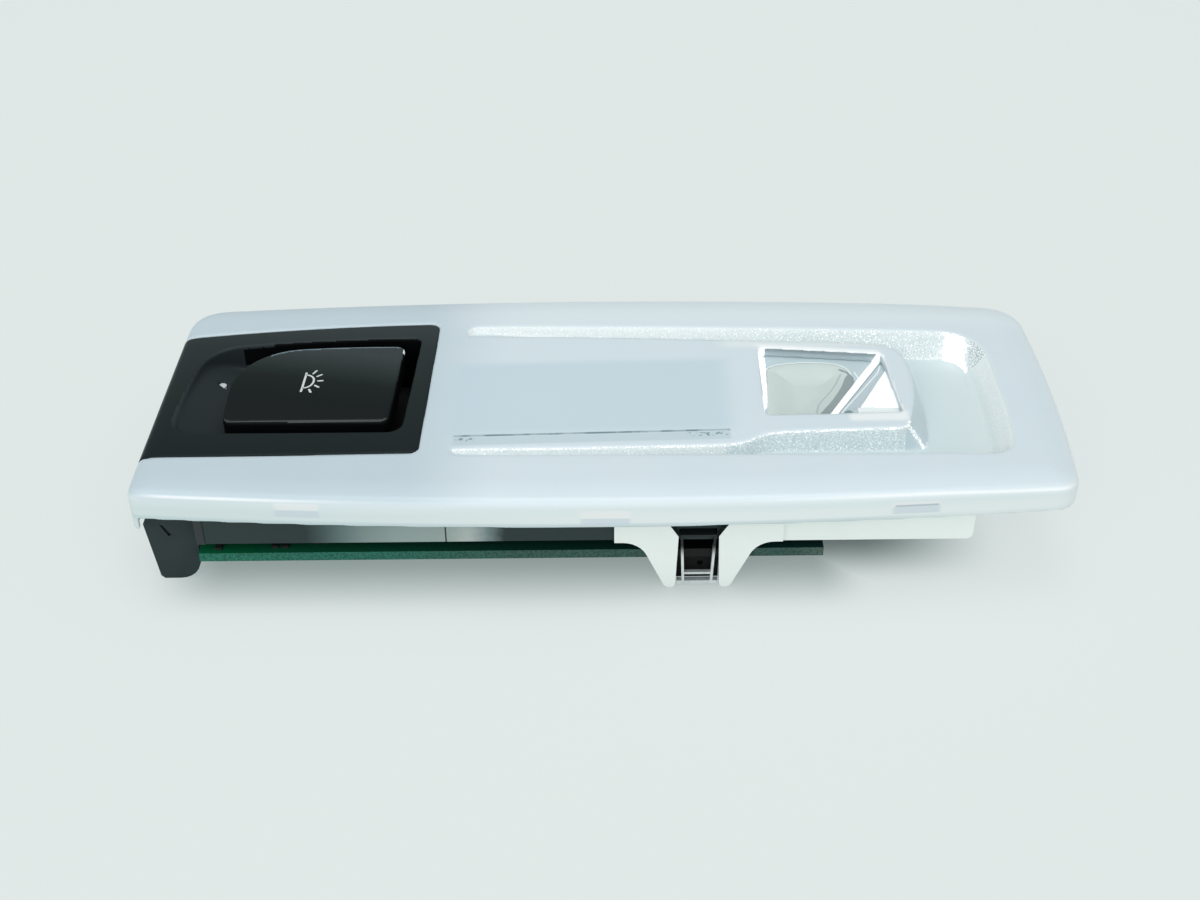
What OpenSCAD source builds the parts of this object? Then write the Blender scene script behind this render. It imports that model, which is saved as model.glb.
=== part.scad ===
// Car dome light: milky cover with a reading window, a black press switch at
// its left end, and the housings, board and steel clips below.
// Millimetres. +X runs along the lamp, +Y to its far long side, +Z out of the
// visible face. The origin is under the middle of the lamp, at its feet.

/* [Cover] */
// Overall length of the cover
cover_l = 183.8; // [180:0.1:190]
// Width of the cover at its middle
cover_w = 74; // [72:1:80]
// How far each long side bows out
side_bow = 4.2; // [3:0.1:5]
// How far the right end bows out
right_bow = 1.6; // [1:0.1:2.5]
// How far the left end bows out
left_bow = 0.4; // [0.2:0.1:1]
// How much further the left end reaches on the near side than on the far side
left_slant = 2.4; // [1.6:0.1:3]
// Height of the skirt, from its rim to the visible face
skirt_h = 6.7; // [6.5:0.1:8]
// Wall of the cover
cover_wall = 2.2; // [1.8:0.1:2.4]
// Round of the edge between face and skirt
edge_r = 1.6; // [1.2:0.1:2.2]
// Drop of the face at the left end
roll_drop = 1.5; // [1:0.1:2]
// Length over which the face drops
roll_l = 7; // [5:0.5:12]
// How far the lip of the left end hangs below the rim
lip_h = 2.8; // [2:0.1:3]
// Thickness of that lip
lip_t = 0.9; // [0.8:0.1:1]
// Height of the rim above the feet
rim_h = 18.2; // [17.8:0.1:22]

/* [Recess] */
// Depth of the recess at its right end
recess_depth = 5; // [4.4:0.1:5.2]
// Depth of the recess at its left end
recess_start = 1.2; // [0.8:0.1:1.4]
// Distance from the left end of the recess to where it is deepest
recess_ramp = 77; // [60:1:85]
// Sideways run of the recess wall for each millimetre of depth
recess_draft = 0.7; // [0.5:0.05:0.8]
// Wall of the recess tub
tub_wall = 1.6; // [1.2:0.1:1.8]
// Wall of the island in the recess
island_wall = 1.4; // [1.2:0.1:1.5]

/* [Switch] */
// Height of the button above the visible face
button_rise = 0.8; // [0.4:0.1:1.2]
// Height of the button from its lower edge to its top
button_h = 4.6; // [4.2:0.1:4.9]
// Wall of the button
button_wall = 1.4; // [1.2:0.1:1.6]
// Depth of the finger scoop at the button
scoop_depth = 6.6; // [6.2:0.1:6.8]
// Diameter of the hinge pin
pin_d = 2; // [1.8:0.1:2.2]
// Running clearance round the hinge pin
pin_gap = 0.05; // [0.03:0.01:0.08]
// Distance of the hinge pin from the right edge of the button
pin_inset = 4.2; // [3.9:0.1:4.6]
// Height of the hinge pin above the deck
pin_h = 7; // [6.6:0.1:7.4]

/* [Housings] */
// How far the cover stands out past the housings on each long side
overhang = 5.6; // [5.5:0.1:6.2]
// Wall of the housings
house_wall = 1.5; // [1.2:0.1:1.7]
// Thickness of the decks
deck_t = 1.5; // [1.2:0.1:1.8]
// Height of the housings' lower edge above the feet
house_z = 10.7; // [10.6:0.1:11]
// How far the clip towers stand out past the housings
tower_out = 1.7; // [1.5:0.1:2]
// How far the rest of the carrier stands out past the housings
carrier_out = 0.6; // [0.3:0.1:0.8]
// Place of the clip towers along the lamp
tower_x = 16.7; // [14:0.1:18]

/* [Board] */
// Height of the board's upper face above the feet
board_z = 8; // [7.6:0.1:8.2]
// Thickness of the board
board_t = 2; // [1.6:0.1:2]
// Outer diameter of the screw threads
screw_d = 2.2; // [2:0.1:2.4]
// Clearance round the screws in the board
screw_gap = 0.25; // [0.2:0.05:0.35]
// Height of the connector below the board
plug_h = 5.5; // [5:0.1:5.5]

/* [Clips] */
// Thickness of the spring steel
clip_t = 0.5; // [0.4:0.05:0.6]

/* [Hidden] */
$fn = 32;

// Small amount by which a cut runs past a face
over = 0.5;
// Clearance between pieces that only sit in each other
seat_gap = 0.05;
// Clearance between pieces that stay apart
free_gap = 0.3;

top_z = rim_h + skirt_h;
under_z = top_z - cover_wall;
side_y = cover_w / 2;
// The feet and the tower are placed from the middle; the left end reaches 1.2
// further than the right end
left_end = 0.6 - 1.2 - cover_l / 2;
right_end = 0.6 - 1.2 + cover_l / 2;
// Shift of the switch and of the window with the ends of the cover
sw = left_end + 92.5;
wi = right_end - 91.3;

house_y = side_y - overhang;
tower_y = house_y + tower_out;
carrier_y = house_y + carrier_out;

// Four-sided outlines: corner points counter-clockwise from the near left,
// then the bow of each edge and the radius of each corner after that edge.
panel_p = [
    [left_end + left_bow, -side_y + side_bow], [right_end - right_bow, -side_y + side_bow],
    [right_end - right_bow, side_y - side_bow],
    [left_end + left_bow + left_slant, side_y - side_bow]
];
panel_b = [side_bow, right_bow, side_bow, left_bow];
panel_r = [3.6, 9, 11, 3.6];

function along(points, dx) = [for (c = points) concat([c[0] + dx], [for (i = [1:len(c) - 1]) c[i]])];

bezel_p = along([[-110, -22.1], [-37.6, -21.5], [-36.4, 26.1], [-110, 17.5]], sw);
bezel_b = [0.1, 0.05, 1.8, 0.05];
bezel_r = [2, 2, 2, 2];

well_p = along([[-87.2, -13.9], [-41.6, -14.1], [-40, 20.2], [-83.8, 16.8]], sw);
well_b = [0.05, 0.05, 0.9, 1.2];
well_r = [3, 1.6, 9, 4.5];

key_p = along([[-77.3, -11.2], [-44.2, -11.4], [-43.1, 16.5], [-77.2, 14.4]], sw);
key_b = [0.05, 0.05, 0.8, 0.6];
key_r = [1.7, 1.7, 14, 1.8];

recess_p = [[-28.4 + sw, -22], [78.4 + wi, -23], [79 + wi, 20.9], [-28.4 + sw, 23.9]];
recess_b = [0.1, 1.2, 1, 0.1];
recess_r = [5, 9, 5, 5];

window_p = along([[31.9, -10.1], [59.2, -8.5], [58.9, 12], [33, 15.5]], wi);
window_b = [0.05, 0.05, 0.05, 0.05];
window_r = [1.1, 1.1, 1.1, 1.1];

// The island's outline as two overlapping tongues: corner x and y, then how
// far the foot stands out in x and y for each millimetre of depth.
island_left = [
    [-30 + sw, -20.5, 0, -0.05], [22 + wi, -19.9, 0, -0.15], [26.4 + wi, -19, 0, -0.15],
    [31 + wi, -16, 0, -0.15], [31 + wi, 20.9, 0, 0.3], [-30 + sw, 21, 0, 0.2]
];
island_right = along([
    [5, -17.2, 0, -0.12], [57.6, -14.7, 0.2, -0.14], [59.4, -13, 0.78, -0.45],
    [60.8, -8.4, 0.65, -0.2], [62, -3.5, 0.5, 0], [62.4, 1.6, 0.46, 0], [62.4, 10.9, 0.4, 0.1],
    [60.8, 14.5, 0.65, 0.5], [57, 18, 0.3, 0.3], [53, 20, 0, 0.3], [5, 20.8, 0, 0.3]
], wi);

// Places along the lamp of the snap lugs that hold the cover
lug_x = [left_end + 21, tower_x - 17.2, right_end - 33.8];
lug_w = 8.4;
lug_h = 2.6;
lug_z = rim_h + 1.6;

split_x = -32.2 + sw;
switch_x = left_end + 13.7;
tower_w = 32.6;
carrier_x = [tower_x - 16.5, right_end - 21.4];
chamber_x = [split_x + 2.2, window_p[0][0] - 8.9];
chamber_y = [-13, 13.8];
chamber_z = top_z - 5;
diffuser_t = 1.4;
deck_z = house_z + deck_t;
wall_top = under_z - free_gap;
tub_z = top_z - recess_depth - tub_wall;

board_x = [left_end + 11.8, window_p[0][0] + 9.5];
board_y = house_y - 0.4;
board_low = board_z - board_t;
spot_led_at = [window_p[0][0] + 5.7, 1.5];
led_h = 0.8;

key_top = top_z + button_rise;
key_low = key_top - button_h;
pin_at = [key_p[1][0] - pin_inset, deck_z + pin_h];
pin_r = pin_d / 2;
barrel_r = pin_r + 1.2;
key_y = [key_p[0][1] + 3, key_p[2][1] - 4.5];
lug_t = 2;
tact_at = [key_p[0][0] + 11.3, 2.5];
tact_h = 2;
plunger_h = 1.2;
guide_at = [well_p[0][0] + 5.7, 9.5];
guide_r = 0.9;

// The scoop is a cylinder through the well's left edge, level at scoop_x
scoop_x = key_p[0][0] + 5;
scoop_low = top_z - scoop_depth;
scoop_t = 1.4;
scoop_run = scoop_x - well_p[0][0];
scoop_r = (scoop_run * scoop_run + scoop_depth * scoop_depth) / (2 * scoop_depth);

// The left edge of the cover at y
function left_at(y) = left_end + left_slant * (y + side_y) / cover_w;
bracket_gap = 1.15;
bracket_end = board_x[0] - 0.15;
bracket_y = house_y - 2.6;
bracket_t = 2;
bracket_top = rim_h - 2.6;

switch_boss = [
    for (x = [switch_x + 4.8, split_x - 4.8], y = [-house_y + 6.4, house_y - 6.4]) [x, y]
];
light_boss = [
    for (x = [split_x + 6.2, board_x[1] - 4.4], y = [-house_y + 6.4, house_y - 6.4]) [x, y]
];
screw_deep = 4;
step_x = tower_x + 13.3;
carrier_in = house_y - 0.9;
clip_gap_x = 5.7;
clip_w = 3.5;
clip_deep = 1.1;
lug_gap = 0.2;
plunger_r = 1.7;
plug_x = [tact_at[0], tact_at[0] + 18];
plug_y = [-8, 4];

function turn(a) = a - 360 * floor(a / 360);
function heading(v) = atan2(v[1], v[0]);

// Centre and radius of the arc from p to q that bows out to the right by b
function bow_circle(p, q, b) =
    let (v = q - p, len = norm(v), r = (len * len / 4 + b * b) / (2 * b))
    [(p + q) / 2 - [v[1], -v[0]] / len * (r - b), r];

// Middle of the round of radius rc between two arcs, near the corner c
function corner_mid(e, g, rc, c) =
    let (
        re = e[1] - rc, rg = g[1] - rc, v = g[0] - e[0], len = norm(v),
        a = (re * re - rg * rg + len * len) / (2 * len),
        h = sqrt(max(0, re * re - a * a)),
        m = e[0] + v * a / len, k = [-v[1], v[0]] * h / len
    )
    norm(m + k - c) < norm(m - k - c) ? m + k : m - k;

// Points of a four-sided outline, inset by d (a number, negative to grow)
function soft_quad(p, b, r, d = 0, ne = 6, nc = 4) =
    let (
        e = [for (i = [0:3]) bow_circle(p[i], p[(i + 1) % 4], b[i])],
        k = [for (i = [0:3]) corner_mid(e[i], e[(i + 1) % 4], r[i], p[(i + 1) % 4])]
    )
    [for (i = [0:3])
        let (
            g = e[(i + 1) % 4],
            a0 = heading(k[(i + 3) % 4] - e[i][0]),
            da = turn(heading(k[i] - e[i][0]) - a0),
            b0 = heading(k[i] - e[i][0]),
            db = turn(heading(k[i] - g[0]) - b0)
        )
        each concat(
            [for (t = [0:ne - 1]) let (a = a0 + da * t / ne)
                e[i][0] + (e[i][1] - d) * [cos(a), sin(a)]],
            [for (t = [0:nc - 1]) let (a = b0 + db * t / nc)
                k[i] + (r[i] - d) * [cos(a), sin(a)]]
        )];

function panel(d, ne = 16) = soft_quad(panel_p, panel_b, panel_r, d, ne, 5);

// Fall of the face at the left end
function drop(x) =
    let (t = max(0, roll_l + left_end - x) / roll_l)
    roll_drop * t * t;

// Depth of the recess at x
function depth(x) =
    recess_start + (recess_depth - recess_start)
    * min(1, max(0, x - recess_p[0][0]) / recess_ramp);

module point_hull(points) {
    hull() polyhedron(points, [[for (i = [0:len(points) - 1]) i]]);
}

module plate(points, z0, z1) {
    translate([0, 0, z0]) linear_extrude(z1 - z0) polygon(points);
}

// A block between two corners
module block(x, y, z) {
    translate([x[0], y[0], z[0]]) cube([x[1] - x[0], y[1] - y[0], z[1] - z[0]]);
}

// The closed form of the cover, inset by d with its face at height z
module cover_form(d, low, z, r) {
    arcs = [for (a = [0:22.5:90]) [d + r * (1 - cos(a)), z - r + r * sin(a)]];
    point_hull(concat(
        [for (p = panel(d)) [p[0], p[1], low]],
        [for (s = arcs, p = panel(s[0])) [p[0], p[1], s[1] - drop(p[0])]]
    ));
}

// The recess without its island, grown by g at its walls and floor
module basin(g) {
    n = len(soft_quad(recess_p, recess_b, recess_r));
    up = 1;
    high = soft_quad(recess_p, recess_b, recess_r, -recess_draft * up - g);
    low = [for (i = [0:n - 1])
        let (x = soft_quad(recess_p, recess_b, recess_r)[i][0])
        soft_quad(recess_p, recess_b, recess_r, recess_draft * depth(x) - g)[i]];
    point_hull(concat(
        [for (p = high) [p[0], p[1], top_z + up]],
        [for (p = low) [p[0], p[1], top_z - depth(p[0]) - g]],
        [for (y = [recess_p[0][1] + 4, recess_p[2][1] - 4])
            [recess_p[0][0] + recess_ramp, y, top_z - recess_depth - g]]
    ));
}

// One tongue of the island, shrunk by s
module tongue(corners, s, z) {
    deep = recess_depth + 3;
    hull() {
        translate([0, 0, z - over / 2]) linear_extrude(over / 2)
            offset(delta = -s) polygon([for (c = corners) [c[0], c[1]]]);
        translate([0, 0, top_z - deep]) linear_extrude(over / 2)
            offset(delta = -s)
            polygon([for (c = corners) [c[0] + c[2] * deep, c[1] + c[3] * deep]]);
    }
}

module island(s, z) {
    tongue(island_left, s, z);
    tongue(island_right, s, z);
}

// Skirt and face of the cover, with the thinner lip that hangs at its left end
module shell_form() {
    low = rim_h - lip_h;
    difference() {
        cover_form(0, low, top_z, edge_r);
        cover_form(cover_wall, low - over, under_z, 0.6);
        block([left_end + 4.6, right_end + 1], [-side_y - 1, side_y + 1], [low - over, rim_h]);
        intersection() {
            plate(panel(lip_t), low - over, rim_h + 0.6);
            block([left_end, left_end + 6], [-side_y, side_y], [low - 1, rim_h + 1]);
        }
    }
}

module lens_cover() {
    color([0.82, 0.87, 0.9]) difference() {
        union() {
            shell_form();
            intersection() {
                basin(tub_wall);
                cover_form(cover_wall / 2, rim_h - over, top_z, edge_r);
            }
        }
        difference() {
            basin(0);
            island(0, top_z);
        }
        island(island_wall, under_z);
        plate(soft_quad(bezel_p, bezel_b, bezel_r), rim_h - lip_h - over, top_z + over);
        plate(soft_quad(window_p, window_b, window_r), under_z - over, top_z + over);
        for (x = lug_x, s = [-1, 1])
            translate([x, s * (snap_y(x) - 0.5), lug_z]) cube([lug_w + 0.4, 3, lug_h + 0.4], true);
    }
}

// Bottom of the snap pocket in the skirt at x, from the middle of the lamp
function snap_y(x) = side_y - side_bow * pow((x + 0.6) * 2 / cover_l, 2) - cover_wall - 0.1;

module window_lens() {
    color([0.86, 0.9, 0.92])
        plate(soft_quad(window_p, window_b, window_r, seat_gap), under_z + seat_gap, top_z - 0.1);
}

module switch_bezel() {
    well = soft_quad(well_p, well_b, well_r);
    well_out = soft_quad(well_p, well_b, well_r, -1.3);
    color([0.13, 0.14, 0.14]) difference() {
        union() {
            intersection() {
                shell_form();
                plate(soft_quad(bezel_p, bezel_b, bezel_r, seat_gap), rim_h - lip_h - over, top_z + over);
            }
            plate(well_out, deck_z, under_z + over);
        }
        difference() {
            plate(well, deck_z - over, top_z + over);
            difference() {
                block([left_end, scoop_x], [-20, 30], [scoop_low - scoop_t, top_z + over]);
                translate([scoop_x, 0, scoop_low + scoop_r]) rotate([90, 0, 0])
                    cylinder(r = scoop_r, h = 80, center = true, $fn = 96);
            }
        }
        // The skirt of the well stands on the deck, clear of the end bracket
        block([left_end, switch_x + house_wall + free_gap], [-30, 30], [deck_z - over, scoop_low - scoop_t]);
        translate([guide_at[0], guide_at[1], 0]) cylinder(r = guide_r + seat_gap, h = 60, $fn = 24);
    }
}

// The pressed key: a hollow cap, two hinge barrels and an actuator post
module switch_button() {
    r = 0.9;
    arcs = [for (a = [0:30:90]) [r * (1 - cos(a)), key_top - r + r * sin(a)]];
    inner = soft_quad(key_p, key_b, key_r, button_wall);
    post_low = board_z + tact_h + plunger_h + free_gap;
    color([0.09, 0.1, 0.1]) difference() {
        union() {
            difference() {
                point_hull(concat(
                    [for (p = soft_quad(key_p, key_b, key_r)) [p[0], p[1], key_low]],
                    [for (s = arcs, p = soft_quad(key_p, key_b, key_r, s[0])) [p[0], p[1], s[1]]]
                ));
                plate(inner, key_low - over, key_top - button_wall - 0.4);
            }
            for (y = key_y) {
                block([pin_at[0] - barrel_r, pin_at[0] + barrel_r], [y - 1.5, y + 1.5],
                    [pin_at[1], key_top - button_wall - 0.2]);
                translate([pin_at[0], y, pin_at[1]]) rotate([90, 0, 0])
                    cylinder(r = barrel_r, h = 3, center = true);
            }
            translate([tact_at[0], tact_at[1], post_low])
                cylinder(r = 1.6, h = key_top - button_wall - 0.2 - post_low);
        }
        translate([pin_at[0], 0, pin_at[1]]) rotate([90, 0, 0])
            cylinder(r = pin_r + pin_gap, h = 80, center = true);
    }
}

module hinge_pin() {
    low = key_y[0] - 1.5;
    high = key_y[1] + 1.5;
    color([0.7, 0.71, 0.72]) translate([pin_at[0], low, pin_at[1]]) rotate([-90, 0, 0])
        cylinder(r = pin_r, h = high - low);
}

// Light pipe from its lamp on the board to the small mark in the scoop
module locator_guide() {
    run = guide_at[0] - scoop_x;
    top = scoop_low + scoop_r - sqrt(scoop_r * scoop_r - run * run);
    color([0.9, 0.93, 0.95]) translate([guide_at[0], guide_at[1], board_z + led_h + 0.1])
        cylinder(r = guide_r, h = top - board_z - led_h - 0.3, $fn = 24);
}

// Round foot between a deck and the board
module board_boss(at) {
    translate([at[0], at[1], board_z]) cylinder(r = 2.6, h = house_z + over - board_z);
}

module screw_pilot(at) {
    translate([at[0], at[1], board_z - over]) cylinder(r = screw_d / 2, h = screw_deep + over);
}

module switch_housing() {
    x = [switch_x, split_x - seat_gap];
    lug_y = [key_y[0] + 1.5 + lug_gap, key_y[1] - 1.5 - lug_gap - lug_t];
    color([0.2, 0.22, 0.23]) difference() {
        union() {
            block(x, [-house_y, house_y], [house_z, deck_z]);
            for (y = [-house_y, house_y - house_wall]) block(x, [y, y + house_wall], [house_z, wall_top]);
            block([x[1] - house_wall, x[1]], [-house_y, house_y], [house_z, wall_top]);
            block([x[0], x[0] + house_wall], [-house_y, house_y], [house_z, scoop_low - scoop_t - 0.5]);
            for (at = switch_boss) board_boss(at);
            for (s = [-1, 1]) snap_lug(lug_x[0], s);
            for (y = lug_y) {
                block([pin_at[0] - barrel_r, pin_at[0] + barrel_r], [y, y + lug_t], [house_z, pin_at[1]]);
                translate([pin_at[0], y, pin_at[1]]) rotate([-90, 0, 0])
                    cylinder(r = barrel_r, h = lug_t);
            }
        }
        translate([pin_at[0], key_y[0], pin_at[1]]) rotate([-90, 0, 0])
            cylinder(r = pin_r, h = key_y[1] - key_y[0]);
        block([tact_at[0] - 4.5, tact_at[0] + 4.5], [tact_at[1] - 4.5, tact_at[1] + 4.5],
            [house_z - over, deck_z + over]);
        for (at = switch_boss) screw_pilot(at);
    }
}

// Lug on a housing wall that holds the cover by its skirt
module snap_lug(x, s) {
    tip = snap_y(x) + 0.6;
    translate([x, s * (tip + house_y - house_wall / 2) / 2, lug_z])
        cube([lug_w, tip - house_y + house_wall / 2, lug_h], true);
}

// Black end piece with a foot below each long side
module end_bracket() {
    color([0.17, 0.19, 0.19]) difference() {
        union() {
            for (y = [-bracket_y, bracket_y - bracket_t])
                translate([0, y + bracket_t, 0]) rotate([90, 0, 0])
                    linear_extrude(bracket_t) bracket_face(left_at(y) + bracket_gap);
            block([left_at(bracket_y) + bracket_gap, switch_x - seat_gap], [-bracket_y + over, bracket_y - over],
                [bracket_top - 1.8, bracket_top]);
        }
        translate([guide_at[0], guide_at[1], 0]) cylinder(r = guide_r + free_gap, h = 40);
        // Sink mark in the near face
        translate([bracket_end - 6.6, -bracket_y + 0.6, bracket_top - 2.4]) rotate([90, 0, 0])
            linear_extrude(1) polygon([[-0.6, 0.4], [0.2, 0], [1.5, -2.2], [0.9, -2.6]]);
    }
}

// Outline of a bracket plate in X and Z, from x0 to the board's end
module bracket_face(x0) {
    foot_r = 4.4;
    polygon(concat(
        [[x0 + 1.6, bracket_top], [x0 + 0.7, bracket_top - 0.6], [x0, bracket_top - 1.9]],
        [[x0 + 1.5, 0.7], [x0 + 2.2, 0]],
        [for (a = [-90:15:0])
            [bracket_end - 0.5 - foot_r + foot_r * cos(a), foot_r + foot_r * sin(a)]],
        [[bracket_end - 0.2, 8], [bracket_end, 9.4], [bracket_end, bracket_top]]
    ));
}

module reflector_housing() {
    x = [split_x, carrier_x[1] - 3.9];
    color([0.72, 0.75, 0.77]) difference() {
        union() {
            block([x[0], step_x], [-house_y, house_y], [house_z, deck_z]);
            block([step_x, x[1]], [-carrier_in + 0.1, carrier_in - 0.1], [house_z, deck_z]);
            for (s = [-1, 1]) {
                wall_block([x[0], step_x], s * house_y, s);
                wall_block([step_x - house_wall, x[1]], s * (carrier_in - 0.1), s);
            }
            block([x[0], x[0] + house_wall], [-house_y, house_y], [house_z, wall_top]);
            block([x[1] - house_wall, x[1]], [-carrier_in + 0.1, carrier_in - 0.1],
                [house_z, tub_z - free_gap]);
            for (at = light_boss) board_boss(at);
            frustum(0);
        }
        // The light chamber narrows from the diffuser down to the board
        frustum(1.2);
        plate(soft_quad(window_p, window_b, window_r, 0.4), house_z - over, deck_z + over);
        for (at = light_boss) screw_pilot(at);
        // Slots for the tongues of the spring clips
        for (s = [-1, 1]) translate([tower_x, s * house_y, deck_z + 0.6])
            cube([2 * clip_w + 0.4, 4, 1.2], true);
    }
}

module wall_block(x, y, s) {
    block(x, s > 0 ? [y - house_wall, y] : [y, y + house_wall], [house_z, wall_top]);
}

// Form of the light chamber, shrunk by d, open at both ends when it cuts
module frustum(d) {
    cut = d > 0 ? over : 0;
    hull() {
        block([chamber_x[0] + d, chamber_x[1] - d], [chamber_y[0] + d, chamber_y[1] - d],
            [chamber_z - 0.6, chamber_z + cut]);
        block([chamber_x[0] + 6 + d, chamber_x[1] - 6 - d], [chamber_y[0] + 5 + d, chamber_y[1] - 5 - d],
            [board_z + 0.2 - cut, board_z + 0.4]);
    }
}

// One face of the carrier: a tower with two legs, drawn in X and Z
module tower_face() {
    slope = 0.456;
    leg_x = 6.3;
    round_r = 5;
    line_z = house_z + 0.6;
    round_at = [leg_x + slope * (line_z - round_r) + round_r * sqrt(1 + slope * slope), line_z - round_r];
    lean = atan(slope);
    half = concat(
        [[tower_w / 2, wall_top], [tower_w / 2, line_z]],
        [for (a = [90:10.9:180 - lean + 0.1]) round_at + round_r * [cos(a), sin(a)]],
        [[leg_x + 0.3, 0.6], [leg_x - 0.2, 0.1], [leg_x - 0.6, 0], [clip_gap_x - 0.7, 0], [clip_gap_x - 1.2, 0.3]],
        [[clip_gap_x - 1.4, 1.2], [clip_gap_x - 1.8, house_z + 2], [clip_gap_x, rim_h - 2.6], [clip_gap_x, rim_h]]
    );
    n = len(half);
    polygon(concat(half, [for (i = [1:n]) [-half[n - i][0], half[n - i][1]]]));
}

module carrier_frame() {
    color([0.85, 0.88, 0.88]) difference() {
        union() {
            for (s = [-1, 1]) {
                translate([tower_x, s > 0 ? tower_y : -house_y - 0.1, 0]) rotate([90, 0, 0])
                    linear_extrude(tower_y - house_y - 0.1) tower_face();
                block([step_x + 0.1, carrier_x[1]], s > 0 ? [carrier_in, carrier_y] : [-carrier_y, -carrier_in],
                    [house_z, wall_top]);
                block([lug_x[1] - lug_w / 2 - 0.6, tower_x - tower_w / 2 + 1],
                    s > 0 ? [house_y + 0.1, tower_y] : [-tower_y, -house_y - 0.1], [rim_h + 0.2, wall_top]);
                for (x = [lug_x[1], lug_x[2]]) carrier_lug(x, s);
            }
            block([carrier_x[1] - house_wall, carrier_x[1]], [-carrier_y, carrier_y],
                [house_z, tub_z - free_gap]);
        }
        // Rounded lower corners at the right end
        for (y = [-carrier_y, carrier_y]) translate([carrier_x[1] - 1.2, y, house_z + 1.2]) difference() {
            translate([0, -3, -1.2 - over]) cube([2, 6, 1.2 + over]);
            rotate([90, 0, 0]) cylinder(r = 1.2, h = 8, center = true);
        }
    }
}

module carrier_lug(x, s) {
    tip = snap_y(x) + 0.6;
    translate([x, s * (tip + carrier_y - 0.3) / 2, lug_z])
        cube([lug_w, tip - carrier_y + 0.3, lug_h], true);
}

module light_diffuser() {
    color([0.8, 0.86, 0.92])
        block(chamber_x, chamber_y, [chamber_z, chamber_z + diffuser_t]);
}

// Metallised bowl under the window: a deep bowl, a ridge and a small facet
module spot_reflector() {
    top = under_z - 0.1;
    flange_t = 1;
    bowl = along([[33.5, -9], [43, -8.9], [57, 11.4], [34.3, 14]], wi);
    facet = along([[45.4, -8], [58.4, -7.4], [58.2, 10.4]], wi);
    pit = along([[46.4, -7.2], [47, -7.3], [57.6, 8.4], [57.4, 8.8]], wi);
    color([0.75, 0.77, 0.79]) difference() {
        union() {
            plate(soft_quad(window_p, window_b, window_r, -0.3), deck_z + flange_t / 2, top);
            plate(soft_quad(window_p, window_b, window_r, -1.4), deck_z, deck_z + flange_t);
            hull() {
                plate(soft_quad(window_p, window_b, window_r, 0.6), deck_z, deck_z + 0.2);
                translate([spot_led_at[0], spot_led_at[1], board_z + 1.2]) scale([1, 1.2, 1])
                    cylinder(r = 4.2, h = 0.5);
            }
        }
        hull() {
            plate(bowl, top - 0.2, top + over);
            translate([41 + wi, 1.6, 15.5]) scale([1, 1.25, 1]) cylinder(r = 6.2, h = 0.2);
            translate([spot_led_at[0], spot_led_at[1], board_z + 2.2]) cylinder(r = 3, h = 0.2);
        }
        translate([spot_led_at[0], spot_led_at[1], board_z]) cylinder(r = 2.4, h = 6);
        hull() {
            plate(facet, top - 0.1, top + over);
            plate(pit, top - 4, top - 3.8);
        }
    }
}

// Bent steel clip in a tower: two cheeks, two cross bars and a tongue that lies
// on the deck
module spring_clip(s) {
    low_w = clip_w - 0.5;
    color([0.74, 0.75, 0.76]) mirror([0, s > 0 ? 1 : 0, 0])
        translate([tower_x, -house_y - 0.1, 0]) rotate([90, 0, 0]) {
            linear_extrude(clip_deep) for (m = [-1, 1]) polygon([
                [m * clip_w, deck_z + clip_t], [m * low_w, 0.6],
                [m * (low_w - clip_t), 0.6], [m * (clip_w - clip_t), deck_z + clip_t]
            ]);
            linear_extrude(clip_deep) translate([-clip_w, deck_z]) square([2 * clip_w, clip_t]);
            linear_extrude(0.8) translate([-low_w, 2.6]) square([2 * low_w, clip_t]);
            linear_extrude(clip_deep) translate([-clip_gap_x + 1.7, 0.3]) square([2 * clip_gap_x - 3.4, 0.9]);
            translate([-clip_w, deck_z, -5]) cube([2 * clip_w, clip_t, 5 + over]);
        }
}

module spring_clip_near() { spring_clip(-1); }

module spring_clip_far() { spring_clip(1); }

// Black blocks under the board, behind the clips
module clip_backing() {
    color([0.09, 0.1, 0.1]) for (s = [-1, 1]) difference() {
        translate([tower_x, s * (board_y - 1.5), board_low / 2 + 0.4])
            cube([2 * clip_w + 1.4, 2.6, board_low - 0.8], true);
        translate([tower_x + 0.6, s * (board_y - 0.4), board_low - 1.7]) rotate([90, 0, 0])
            cylinder(r = 0.6, h = 1.2, center = true, $fn = 16);
    }
}

module circuit_board() {
    tongue_y = 14;
    color([0.08, 0.3, 0.2]) difference() {
        union() {
            block(board_x, [-board_y, board_y], [board_low, board_z]);
            block([guide_at[0] - 3, board_x[0] + 1], [-tongue_y, tongue_y], [board_low, board_z]);
        }
        for (at = concat(switch_boss, light_boss)) translate([at[0], at[1], board_low - over])
            cylinder(r = screw_d / 2 + screw_gap, h = board_t + 2 * over);
    }
}

module board_screws() {
    head_t = 1.5;
    color([0.7, 0.71, 0.72]) for (at = concat(switch_boss, light_boss)) translate([at[0], at[1], 0])
        difference() {
            union() {
                translate([0, 0, board_low - head_t]) cylinder(r = 2.1, h = head_t);
                translate([0, 0, board_low - over]) cylinder(r = screw_d / 2, h = over + board_t + screw_deep - 0.4);
            }
            translate([0, 0, board_low - head_t - over]) cylinder(r = 1, h = over + 0.8, $fn = 6);
        }
}

// Header for the lamp's plug, open to the roof
module connector_shell() {
    color([0.12, 0.12, 0.13]) difference() {
        block(plug_x, plug_y, [board_low - plug_h, board_low]);
        block(plug_x + [1.1, -1.1], plug_y + [1.1, -1.1], [board_low - plug_h - over, board_low - 1]);
        block([plug_x[0] + 6, plug_x[1] - 6], [plug_y[0] - over, plug_y[0] + 2],
            [board_low - plug_h - over, board_low - plug_h + 2.4]);
    }
}

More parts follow.
